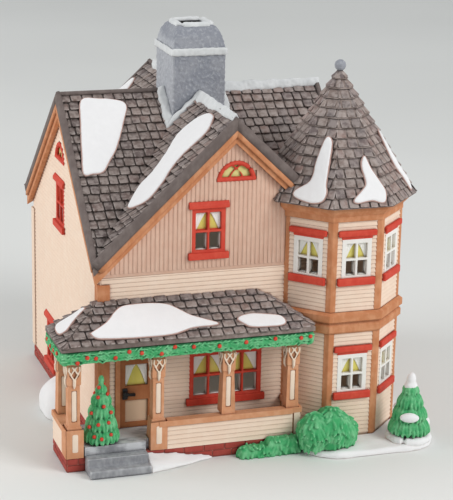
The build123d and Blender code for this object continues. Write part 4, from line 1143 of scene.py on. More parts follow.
@dataclass
class Tower:
    """Octagonal tower: shingled roof, finial and snow."""

    x: float = 57.8
    y: float = -60.5
    apothem: float = 30.2
    eave_apothem: float = 36.4
    eave: float = 122.5
    peak: float = 183.2
    courses: int = 14
    shingle_width: float = 5.2
    sides: int = 8

    def holds(self, place: Vector) -> bool:
        """Whether a place lies well inside the tower's walls or roof."""
        margin = 1.0
        reach = max((place.x - self.x) * math.cos(turn) + (place.y - self.y) * math.sin(turn)
                    for turn in turns(self.sides))
        share = min(max((place.z - self.eave) / (self.peak - self.eave), 0), 1)
        limit = self.eave_apothem * (1 - share) if share > 0 else self.apothem
        return reach < limit - margin

    def wall(self, face: int) -> Facing:
        """Upright plane of a face, counted from the right-hand one towards the back."""
        turn = 2 * math.pi * face / self.sides
        out = Vector((math.cos(turn), math.sin(turn), 0))
        return upright(Vector((self.x, self.y, 0)) + out * self.apothem, out)

    def slope(self, face: int) -> tuple[Facing, float]:
        """Plane of one face of the roof from the middle of its eave, and its length."""
        rise = self.peak - self.eave
        length = math.hypot(self.eave_apothem, rise)
        wall = self.wall(face)
        up = (UP * rise - wall.out * self.eave_apothem) / length
        out = (wall.out * rise + UP * self.eave_apothem) / length
        origin = Vector((self.x, self.y, self.eave)) + wall.out * self.eave_apothem
        return Facing(origin, wall.across, up, out), length

    def shingle(self) -> None:
        """Lay the shingles of the eight faces."""
        clay = Clay()
        half = self.eave_apothem * math.tan(math.pi / self.sides)
        for face in range(self.sides):
            facing, length = self.slope(face)
            region = [(-half - 0.5, -0.9), (half + 0.5, -0.9), (0.7, length), (-0.7, length)]
            rows = Courses(facing, region, self.courses, length, width=self.shingle_width)
            rows.lay(clay, 101 + face, lambda place: True)
        shown(clay.mesh(), "tower_shingles", Finish.SHINGLE)

    def finial(self) -> None:
        """Ball on its collar, in one casting."""
        body = roughened(cast(from_node("tower_finial"), voxel=0.22, smoothing=5), grain=0.9, depth=0.10)
        shown(body, "tower_ball", Finish.STUCCO, ["tower_finial"])

    def snow(self) -> None:
        """Patches of snow on three faces of the tower's roof."""
        left = [(3.4, 35.4), (6.0, 32.8), (7.2, 24.0), (8.4, 12.3), (9.8, 7.3), (8.4, 2.9), (3.0, 1.5),
                (-5.6, 3.3), (-6.4, 6.5), (0.1, 12.2), (0.6, 21.9), (1.7, 31.6)]
        front = [(4.6, 25.3), (6.6, 19.3), (10.0, 12.5), (12.2, 7.7), (11.6, 3.0), (9.4, 1.8), (4.4, 3.2),
                 (-2.9, 2.3), (-4.4, 3.9), (0.5, 8.5), (2.9, 11.9), (2.1, 20.1), (2.9, 23.6)]
        right = [(5.4, 36.0), (7.0, 30.6), (7.9, 22.6), (9.6, 14.9), (11.6, 6.6), (9.2, 2.4), (7.4, 9.4),
                 (4.6, 17.0), (4.6, 25.7)]
        placed = ((-3, left), (-2, front), (-1, right))
        snow_patches([(self.slope(face)[0], outline) for face, outline in placed], "tower_snow")

    def dress(self) -> None:
        """Make all the pieces of the tower's roof."""
        self.shingle()
        self.finial()
        self.snow()


@dataclass(frozen=True)
class Opening:
    """Window by its wall, the middle of its foot, its size and its count of leaves."""

    wall: str | int
    middle: float
    low: float
    width: float
    height: float
    leaves: int = 1


@dataclass
class Windows:
    """Lit upper panes with tied-back curtains, white reveals below, and the fans' panes."""

    casing: float = 2.2
    bar: float = 1.1
    setback: float = 1.4
    fan_radius: float = 9.6
    fan_frame: float = 1.7
    fan_bar: float = 1.2
    fan_steps: int = 20
    fan_low: float = 127.6
    front_fan_low: float = 133.6
    reveal_thick: float = 0.3
    door_x: float = -47.6
    door_pane_half: float = 5.6
    door_pane_low: float = 33.5
    door_pane_high: float = 10.8

    def walls(self, tower: Tower) -> dict[str | int, Facing]:
        """Upright planes of the four walls by side and of the tower's faces by number."""
        found: dict[str | int, Facing] = {
            "front": upright((0, -WALL_HALF_Y, 0), (0, -1, 0)),
            "back": upright((0, WALL_HALF_Y, 0), (0, 1, 0)),
            "left": upright((-WALL_HALF_X, 0, 0), (-1, 0, 0)),
            "right": upright((WALL_HALF_X, 0, 0), (1, 0, 0)),
        }
        found.update({face: tower.wall(face) for face in range(-3, 3)})
        return found

    def openings(self) -> list[Opening]:
        """All the windows with panes."""
        found = [Opening("front", -12.4, 99.0, 17.2, 22.0), Opening("front", -2.2, 24.0, 37.4, 24.0, 2)]
        for wall, place in (("left", -7.0), ("right", 7.0), ("back", 0.0)):
            found.append(Opening(wall, place, 95.0, 18.0, 21.0))
        for wall, place in (("left", -30.0), ("right", 30.0)):
            found.append(Opening(wall, place, 11.0, 20.0, 23.0))
        for faces, low in (((-3, -2, -1, 0, 1), 86.0), ((-2, -1, 0), 26.8)):
            found.extend(Opening(face, 0.0, low, 15.4, 19.6) for face in faces)
        return found

    def dress(self, tower: Tower) -> None:
        """Make the panes, curtains and reveals of every window."""
        glow, cloth, lining, handle = Clay(), Clay(), Clay(), Clay()
        for node in ("tower_window_heads", "tower_window_sills"):
            body = cast(from_node(node), voxel=0.3, smoothing=8, swell=0.12)
            shown(body, f"{node}_rolled", Finish.RED, [node])
        for node in ("front_gable_window", "porch_window", "side_windows"):
            body = cast(from_node(node), voxel=0.24, smoothing=4)
            shown(body, f"{node}_worn", Finish.RED, [node])
        handle.bar([Vector((-53.4, -76.0, 30.4)), Vector((-51.4, -76.2, 30.1)), Vector((-49.2, -75.2, 29.6))],
                   [0.7, 0.8, 0.95], 10)
        shown(handle.mesh(), "door_handle", Finish.BLACK)
        walls = self.walls(tower)
        for hole in self.openings():
            facing = walls[hole.wall].moved(hole.middle, hole.low)
            inner = hole.width - 2 * self.casing
            leaf = (inner - (hole.leaves - 1) * self.casing) / hole.leaves
            pane_high = (hole.height - self.casing * 1.5 - self.bar) / 2
            low = self.casing / 2
            for number in range(hole.leaves):
                left = -inner / 2 + number * (leaf + self.casing)
                self.leaf(glow, cloth, facing, left, leaf, low + pane_high + self.bar, pane_high)
                self.reveals(lining, facing, left, leaf, low, pane_high)
        self.door(glow, cloth, walls["front"].moved(self.door_x, 0))
        shown(glow.mesh(), "window_glow", Finish.GLOW)
        shown(cloth.mesh(), "window_curtains", Finish.CURTAIN)
        shown(lining.mesh(), "window_reveals", Finish.SASH)
        self.fans(walls)

    def door(self, glow: Clay, cloth: Clay, facing: Facing) -> None:
        """Lit pane and curtain of the front door."""
        half, low, high = self.door_pane_half, self.door_pane_low, self.door_pane_high
        glow.slab(facing, box(-half, low, half, low + high), low=-1.5, top=-1.25, bevel=0.1)
        for hand in (-1, 1):
            self.curtain(cloth, facing, 0.0, half, low, high, hand, 0.0)

    def leaf(self, glow: Clay, cloth: Clay, facing: Facing, left: float, width: float, low: float,
             high: float) -> None:
        """Two lit upper panes with a curtain drawn to each side."""
        pane = (width - self.bar) / 2
        for hand, start in ((-1, left), (1, left + pane + self.bar)):
            outline = box(start, low, start + pane, low + high)
            glow.slab(facing, outline, -self.setback - 0.1, -self.setback + 0.15, 0.08)
            self.curtain(cloth, facing, left + width / 2, width / 2, low, high, hand, self.bar / 2)

    def curtain(self, clay: Clay, facing: Facing, middle: float, half: float, low: float, high: float,
                hand: int, start: float) -> None:
        """Curtain that meets its pair at the top and is drawn aside below, with folds.

        Args:
            clay: Mesh that takes it.
            facing: Plane of the window.
            middle: Middle of the pair.
            half: Half of the pair's width.
            low: Foot of the curtain.
            high: Its height.
            hand: Side that it is drawn to.
            start: Distance of its inner edge from the middle at the top.
        """
        rows, columns = 8, 9
        grids = []
        for depth in (-self.setback + 0.05, None):
            grid = []
            for row in range(rows + 1):
                share = row / rows
                inner = start + (half - start) * 0.86 * (1 - share) ** 0.75
                line = []
                for column in range(columns + 1):
                    part = column / columns
                    across = inner + (half - inner) * part
                    fold = 0.16 * math.sin(part * math.pi * 5.0) * (0.4 + 0.6 * share)
                    out = depth if depth is not None else -self.setback + 0.5 + fold
                    line.append(facing.at(middle + hand * across, low + high * share, out))
                grid.append(line)
            grids.append(grid)
        rim = [(0, c) for c in range(columns)] + [(r, columns) for r in range(rows)]
        rim += [(rows, c) for c in range(columns, 0, -1)] + [(r, 0) for r in range(rows, 0, -1)]
        first = len(clay.points)
        for grid in grids:
            for line in grid:
                clay.points.extend(line)
        total = (rows + 1) * (columns + 1)
        clay.tones.extend([0.5] * 2 * total)
        clay.edges.extend([0.0] * 2 * total)

        def index(level: int, row: int, column: int) -> int:
            """Number of a point in the mesh."""
            return first + level * total + row * (columns + 1) + column

        for row in range(rows):
            for column in range(columns):
                square = [(row, column), (row, column + 1), (row + 1, column + 1), (row + 1, column)]
                clay.faces.append(tuple(index(1, r, c) for r, c in square))
                clay.faces.append(tuple(index(0, r, c) for r, c in reversed(square)))
        for (r, c), (next_r, next_c) in zip(rim, rim[1:] + rim[:1]):
            lower = (index(0, r, c), index(0, next_r, next_c))
            upper = (index(1, next_r, next_c), index(1, r, c))
            clay.faces.append(lower + upper)

    def reveals(self, clay: Clay, facing: Facing, left: float, width: float, low: float, high: float) -> None:
        """White linings of the open lower panes."""
        pane = (width - self.bar) / 2
        thick = self.reveal_thick
        for start in (left, left + pane + self.bar):
            right, top = start + pane, low + high
            for lining in (box(start, low, start + thick, top), box(right - thick, low, right, top),
                           box(start, low, right, low + thick), box(start, top - thick, right, top)):
                clay.slab(facing, lining, low=-3.45, top=-0.5, bevel=0.05)

    def fans(self, walls: dict[str | int, Facing]) -> None:
        """Half-round windows: yellow panes behind crossed tracery in a red frame."""
        panes, tracery = Clay(), Clay()
        places = (("front", 1.2, self.front_fan_low), ("left", -7.0, self.fan_low),
                  ("right", 7.0, self.fan_low), ("back", 0.0, self.fan_low))
        radius = (self.fan_radius - self.fan_frame) * 1.05
        ring = self.fan_radius - self.fan_frame / 2
        path = [(-3.6, 1.2), (-2.4, 3.6), (-0.4, 5.9), (2.9, 8.1)]
        angles = [math.pi * step / self.fan_steps for step in range(self.fan_steps + 1)]
        for wall, middle, low in places:
            facing = walls[wall].moved(middle, low)
            arc = [(radius * math.cos(t), max(radius * math.sin(t), 0.6)) for t in angles]
            panes.slab(facing, arc, -self.setback - 0.1, -self.setback + 0.9, 0.05)
            frame_arc = [facing.at(ring * math.cos(t), ring * math.sin(t) + 0.2, 0.2) for t in angles]
            foot = [facing.at(-ring - 1.1, 0.9, 0.2), facing.at(ring + 1.1, 0.9, 0.2)]
            for line in (frame_arc, foot):
                tracery.bar(line, [self.fan_bar] * len(line), around=10)
            for hand in (-1, 1):
                tracery.bar([facing.at(hand * x, y) for x, y in path], [0.42] * len(path), around=8)
        shown(panes.mesh(), "fan_panes", Finish.FAN)
        shown(cast(tracery.mesh(), voxel=0.24, smoothing=2), "fan_tracery", Finish.RED,
              ["front_fan_window", "side_fan_windows"])


@dataclass
class Siding:
    """Lapped boards on the walls and the tower, and upright boards on the front gable."""

    pitch: float = 2.15
    butt: float = 0.84
    tip: float = 0.53
    gable_pitch: float = 2.2
    gable_gap: float = 0.62
    foot: float = 7.0
    gable_foot: float = 91.0
    gable_top: float = 0.86
    gable_backing: float = 0.54
    eave: float = 89.4
    apex: float = 158.0
    edge: float = 0.5
    tower_side: float = 27.4
    tower_half: float = 12.4
    fan_radius: float = 9.5
    fan_low: float = 127.8
    front_fan_low: float = 133.8
    lamp_level: float = 40.0
    lamp_radius: float = 20.4
    door: Hole = (-57.6, 12.0, -37.6, 50.6)
    slices: int = 12

    def holes(self, openings: Iterable[Opening], wall: str | int) -> list[Hole]:
        """Left, low, right and high edges of the openings in a wall."""
        aside, above = 0.6, 0.4
        return [(o.middle - o.width / 2 + aside, o.low + above, o.middle + o.width / 2 - aside,
                 o.low + o.height - above) for o in openings if o.wall == wall]

    def arch(self, middle: float, low: float, radius: float, standing: bool,
             whole: bool = False) -> list[Hole]:
        """Opening in slices.

        Args:
            middle: Middle of the opening.
            low: Height of its centre.
            radius: Its radius.
            standing: Whether the slices stand upright, for upright boards.
            whole: Whether it is round rather than half-round.

        Returns:
            The edges of each slice.
        """
        slices = []
        for step in range(-self.slices if whole or standing else 0, self.slices):
            near, far = radius * step / self.slices, radius * (step + 1) / self.slices
            half = math.sqrt(radius ** 2 - ((near + far) / 2) ** 2)
            if standing:
                slices.append((middle + near, low, middle + far, low + half))
            else:
                slices.append((middle - half, low + near, middle + half, low + far))
        return slices

    def gable(self, left: float, right: float, foot: float, wall_half: float) -> Outline:
        """Outline of a gabled wall.

        Args:
            left: Left edge, below zero.
            right: Right edge.
            foot: Height of its foot.
            wall_half: Half of the width that the roof spans without its overhang.

        Returns:
            The outline, listed anticlockwise.
        """
        fall = (ROOF_RIDGE - ROOF_EAVE) / (wall_half + OVERHANG)
        return [(left, foot), (right, foot), (right, self.apex - fall * right), (0, self.apex),
                (left, self.apex + fall * left)]

    def dress(self, tower: Tower, windows: Windows) -> None:
        """Lay all the boards."""
        draw = random.Random(61)
        walls, openings = windows.walls(tower), windows.openings()
        cream, tan = Clay(), Clay()
        half_x, half_y = WALL_HALF_X - self.edge, WALL_HALF_Y - self.edge
        fans = {wall: self.arch(middle, self.fan_low, self.fan_radius, False)
                for wall, middle in (("left", -7.0), ("right", 7.0), ("back", 0.0))}
        lamp = self.arch(0, self.lamp_level, self.lamp_radius, False, True)
        regions: list[tuple[str | int, Outline, list[Hole]]] = [
            ("front", box(-half_x, self.foot, self.tower_side, self.eave), [self.door]),
            ("left", self.gable(-half_y, half_y, self.foot, WALL_HALF_Y), fans["left"]),
            ("right", self.gable(-30.0, half_y, self.foot, WALL_HALF_Y), fans["right"]),
            ("back", self.gable(-half_x, half_x, self.foot, WALL_HALF_X), fans["back"] + lamp),
        ]
        for face in range(-3, 3):
            for low, high in ((self.foot - 3.0, 57.6), (68.8, 114.5)):
                regions.append((face, box(-self.tower_half, low, self.tower_half, high), []))
        for wall, region, extra in regions:
            holes = extra + self.holes(openings, wall)
            Boards(walls[wall], region, holes, self.pitch, self.butt, self.tip).lay(cream, draw)
        peak = self.gable(-half_x, self.tower_side, self.gable_foot, WALL_HALF_X)
        holes = self.holes(openings, "front") + self.arch(1.2, self.front_fan_low, self.fan_radius, True)
        for top, gap, bevel in ((self.gable_top, self.gable_gap, 0.4), (self.gable_backing, 0.0, 0.02)):
            Boards(walls["front"], peak, holes, self.gable_pitch, top, top, gap, True, bevel).lay(tan, draw)
        shown(cream.mesh(), "siding_boards", Finish.CREAM)
        shown(tan.mesh(), "gable_upright_boards", Finish.TAN)


@dataclass
class Porch:
    """Porch roof, garland, posts' panels and lattices, bricks, steps and snow."""

    eave_left: float = -90.1
    eave_right: float = 36.0
    eave_front: float = -95.7
    eave_back: float = -61.6
    eave: float = 63.4
    ridge: float = 78.6
    ridge_left: float = -66.0
    ridge_right: float = 12.0
    ridge_y: float = -73.0
    courses: int = 6
    garland_low: float = 54.4
    garland_high: float = 61.8
    garland_thick: float = 4.0
    garland_end: float = -82.0
    shingle_width: float = 5.8
    post_half: float = 3.5
    pedestal_half: float = 4.2
    pedestal_low: float = 7.1
    pedestal_high: float = 21.4
    rail_top: float = 21.7
    slim: float = 0.8
    capital_low: float = 43.4
    brick_long: float = 10.5
    brick_high: float = 3.2
    joint: float = 0.25

    def slopes(self) -> list[tuple[Facing, Outline, float]]:
        """Plane, region and length of the front, left, back and right slopes."""
        rise = self.ridge - self.eave
        aside, over, clear = 0.3, 0.9, 0.6
        by_house = WALL_HALF_X + clear
        found = []
        corners = (((0, -1, 0), (0, self.eave_front), self.ridge_y - self.eave_front,
                    self.eave_left, self.eave_right, self.ridge_left, self.ridge_right),
                   ((-1, 0, 0), (self.eave_left, 0), self.ridge_left - self.eave_left,
                    -self.eave_back, -self.eave_front, -self.ridge_y, -self.ridge_y),
                   ((0, 1, 0), (0, self.eave_back), self.eave_back - self.ridge_y,
                    by_house, -self.eave_left, by_house, by_house),
                   ((1, 0, 0), (self.eave_right, 0), self.eave_right - self.ridge_right,
                    self.eave_front, -WALL_HALF_Y - clear, self.ridge_y, self.ridge_y))
        for normal, edge, run, left, right, top_left, top_right in corners:
            out = Vector(normal)
            length = math.hypot(run, rise)
            up = (UP * rise - out * run) / length
            facing = Facing(Vector((*edge, self.eave)), UP.cross(out), up, (out * rise + UP * run) / length)
            region = [(left - aside, -over), (right + aside, -over), (top_right + aside, length + 0.2),
                      (top_left - aside, length + 0.2)]
            found.append((facing, region, length))
        return found

    def shingle(self, tower: Tower) -> None:
        """Lay the shingles of the porch roof."""
        clay = Clay()

        def free(place: Vector) -> bool:
            """Whether a place is clear of the house and the tower."""
            in_house = abs(place.x) < WALL_HALF_X + 0.4 and place.y > -WALL_HALF_Y - 0.4
            return not in_house and not tower.holds(place)

        for number, (facing, region, length) in enumerate(self.slopes()):
            rows = Courses(facing, region, self.courses, length, width=self.shingle_width)
            rows.lay(clay, 201 + number, free)
        shown(clay.mesh(), "porch_shingles", Finish.SHINGLE)

    def garland(self) -> None:
        """Leafy roll with berries under the eave."""
        draw = random.Random(31)
        clay, berries = Clay(), Clay()
        middle = (self.garland_low + self.garland_high) / 2
        left, right = self.eave_left + self.garland_thick / 2, self.eave_right - self.garland_thick / 2
        front = self.eave_front + self.garland_thick / 2
        ends = ((left, self.eave_back - 1.0), (left, front), (right, front), (right, self.garland_end))
        ends = [Vector((x, y, 0)) for x, y in ends]
        for start, end in zip(ends, ends[1:]):
            along = (end - start).normalized()
            out = along.cross(UP)
            span = (end - start).length
            core = [start + along * (span * s / 20) + UP * middle for s in range(21)]
            for level, radius in ((0.0, 2.3), (1.8, 1.6), (-1.7, 1.6)):
                clay.bar([point + UP * level for point in core], [radius] * len(core), around=8)
            for level in (-1.7, 0.0, 1.8):
                clay.blob(end + UP * (middle + level), (along * 2.0, out * 2.0, UP * 1.9), rings=8, around=12)
            place = 0.4
            while place < span:
                for level in (-2.0, -0.7, 0.7, 2.0):
                    spot = start + along * (place + draw.uniform(-0.9, 0.9)) + UP * (middle + level)
                    spot += out * 1.5
                    turn = draw.uniform(-0.75, 0.75) + (math.pi if draw.random() < 0.5 else 0)
                    tip = along * math.cos(turn) + UP * math.sin(turn)
                    wide = tip.cross(out).normalized()
                    long = draw.uniform(1.4, 2.2)
                    clay.blob(spot, (wide * 0.5, out * draw.uniform(0.6, 1.3), tip * long), rings=6, around=8)
                place += 1.5
            for spot, level in self.berry_places(span, draw):
                berries.blob(start + along * spot + UP * (middle + level) + out * 2.2,
                             (along * 1.1, UP * 1.1, out * 0.8), draw.random(), rings=6, around=10)
        body = cast(clay.mesh(), voxel=0.29, smoothing=1)
        shown(body, "porch_garland_leaves", Finish.LEAF, ["porch_garland"])
        shown(berries.mesh(), "porch_garland_berries", Finish.BERRY)

    def berry_places(self, span: float, draw: random.Random) -> list[tuple[float, float]]:
        """Place along a run and level of each of its berries."""
        if span > 100:
            return [(5.6, -1.8), (10.3, 0.4), (14.4, -0.2), (23.9, -0.8), (30.6, 1.6), (36.7, 0.4),
                    (46.4, -0.8), (53.0, 2.0), (62.4, 1.2), (75.2, 0.4), (88.7, 1.2), (103.5, 1.6),
                    (116.8, 0.8), (121.6, 1.2)]
        return [(place, draw.uniform(-1.8, 1.8)) for place in range(4, int(span) - 1, 7)]

    def posts(self) -> None:
        """Slim posts with cream panels, plates on the corner pedestals and lattices on the capitals."""
        panels, lattice, plates = Clay(), Clay(), Clay()
        half = self.pedestal_half
        pedestal = box(-half, self.pedestal_low, half, self.pedestal_high)
        base_reach = self.post_half + 0.8
        front_y = -88.7
        places = ((-83.1, front_y), (-41.7, front_y), (-6.4, front_y), (26.7, front_y), (-83.1, -67.9))
        for number, (x, y) in enumerate(places, 1):
            self.slim_post(f"porch_post_{number}", x, y)
            front = upright((x, y - self.post_half * self.slim, 0), (0, -1, 0))
            panels.slab(front, cut_corners(-1.2, 25.3, 1.2, 40.7, 0.5), low=-0.7, top=-0.15, bevel=0.2)
            if number <= 2:
                base = upright((x, y - base_reach, 0), (0, -1, 0))
                plates.slab(base, pedestal, low=-0.3, top=0.35, bevel=0.2)
                panels.slab(base, cut_corners(-1.4, 10.2, 1.4, 19.4, 0.5), low=0.1, top=0.5, bevel=0.12)
            if number == 1:
                side = upright((x - base_reach, y, 0), (-1, 0, 0))
                plates.slab(side, pedestal, low=-0.3, top=0.35, bevel=0.2)
            reach = (self.post_half + 0.6) * self.slim
            for out in ((0, -1, 0), (-1, 0, 0), (1, 0, 0)):
                face = upright(Vector((x, y, self.capital_low + 5.7)) + Vector(out) * reach, out)
                self.lattice(lattice, face)
        shown(panels.mesh(), "post_panels", Finish.PANEL)
        shown(plates.mesh(), "pedestal_plates", Finish.POST)
        shown(cast(lattice.mesh(), voxel=0.22, smoothing=3), "post_lattices", Finish.PANEL)

    def slim_post(self, node: str, x: float, y: float) -> None:
        """Post with its shaft and capital drawn in towards its axis above the rail."""
        mesh = from_node(node)
        for vertex in mesh.vertices:
            if vertex.co.z > self.rail_top * MM:
                vertex.co.x += (x * MM - vertex.co.x) * (1 - self.slim)
                vertex.co.y += (y * MM - vertex.co.y) * (1 - self.slim)
        soften(shown(mesh, f"{node}_slim", Finish.POST, [node], smooth=False))

    def lattice(self, clay: Clay, face: Facing) -> None:
        """Diamond with two raised arms and a drop below."""
        narrow, proud, radius = 0.84, 0.12, 0.45
        cross = [(0, -3.0), (2.0, 0), (0.5, 2.2), (-1.4, 4.0)]
        arm = [(2.0, 0), (3.1, 2.0), (2.9, 4.0)]
        for path in (cross, arm):
            for hand in (-1, 1):
                points = [face.at(hand * u * narrow, v, proud) for u, v in path]
                clay.bar(points, [radius] * len(points), around=8)
        drop = [face.at(0, -2.6, proud), face.at(0, -5.4, proud), face.at(0, -7.2, -0.5)]
        clay.bar(drop, [0.9, 0.8, 0.3], around=8)

    def bricks(self) -> None:
        """Two courses of bricks on the plinth and the feet of the walls."""
        draw = random.Random(47)
        clay = Clay()
        proud_of_wall = 0.8
        by_x, by_y = WALL_HALF_X + proud_of_wall, WALL_HALF_Y + proud_of_wall
        runs = (((0, -92.6, 0), (0, -1, 0), -87.0, 30.6), ((-87.0, 0, 0), (-1, 0, 0), 64.0, 92.6),
                ((-by_x, 0, 0), (-1, 0, 0), -72.0, 64.0), ((by_x, 0, 0), (1, 0, 0), -24.0, 72.0),
                ((0, by_y, 0), (0, 1, 0), -64.0, 64.0))
        for origin, out, left, right in runs:
            facing = upright(origin, out)
            for course in range(2):
                start = left - self.brick_long * (0.5 if course else 0.0)
                while start < right - 0.4:
                    end = min(start + self.brick_long * draw.uniform(0.94, 1.06), right)
                    begin = max(start, left)
                    if end - begin > 1.2:
                        low = 0.35 + course * (self.brick_high + self.joint)
                        high = low + self.brick_high - 0.1
                        outline = cut_corners(begin + 0.22, low, end - 0.22, high, 0.35)
                        proud = draw.uniform(0.26, 0.42)
                        clay.slab(facing, outline, -0.3, proud, 0.22, draw.random())
                    start = end
        shown(clay.mesh(), "foot_bricks", Finish.BRICK)

    def snow(self) -> None:
        """Two patches of snow on the front slope and one on the left."""
        large = [(-73.9, 7.7), (-66.4, 12.4), (-61.3, 17.8), (-57.7, 20.9), (-52.5, 22.0), (-44.6, 22.0),
                 (-37.8, 21.3), (-33.2, 19.8), (-29.8, 17.3), (-23.9, 12.5), (-14.9, 8.4), (-12.2, 6.5),
                 (-15.6, 5.8), (-23.6, 5.7), (-28.8, 4.6), (-34.2, 3.0), (-42.2, 2.4), (-52.0, 2.5),
                 (-63.5, 3.0), (-72.0, 3.9), (-74.6, 6.6)]
        small = [(-1.9, 8.1), (0.7, 10.0), (7.0, 10.6), (17.7, 8.7), (20.8, 6.9), (21.5, 4.4), (19.6, 2.7),
                 (12.9, 2.4), (3.9, 3.1), (0.5, 5.4)]
        side = [(74.0, 20.3), (72.0, 18.9), (72.1, 13.6), (70.7, 7.1), (71.7, 4.3), (77.0, 3.1), (82.2, 3.7),
                (82.9, 7.2), (79.1, 11.7), (76.0, 16.6)]
        front, left = (slope[0] for slope in self.slopes()[:2])
        snow_patches([(front, large), (front, small), (left, side)], "porch_snow")

    def dress(self, tower: Tower) -> None:
        """Make all the pieces of the porch."""
        self.shingle(tower)
        self.garland()
        self.posts()
        self.bricks()
        steps = roughened(cast(from_node("porch_steps"), voxel=0.5, smoothing=4), grain=3.0, depth=0.12)
        shown(steps, "porch_steps_worn", Finish.STONE, ["porch_steps"])
        self.snow()


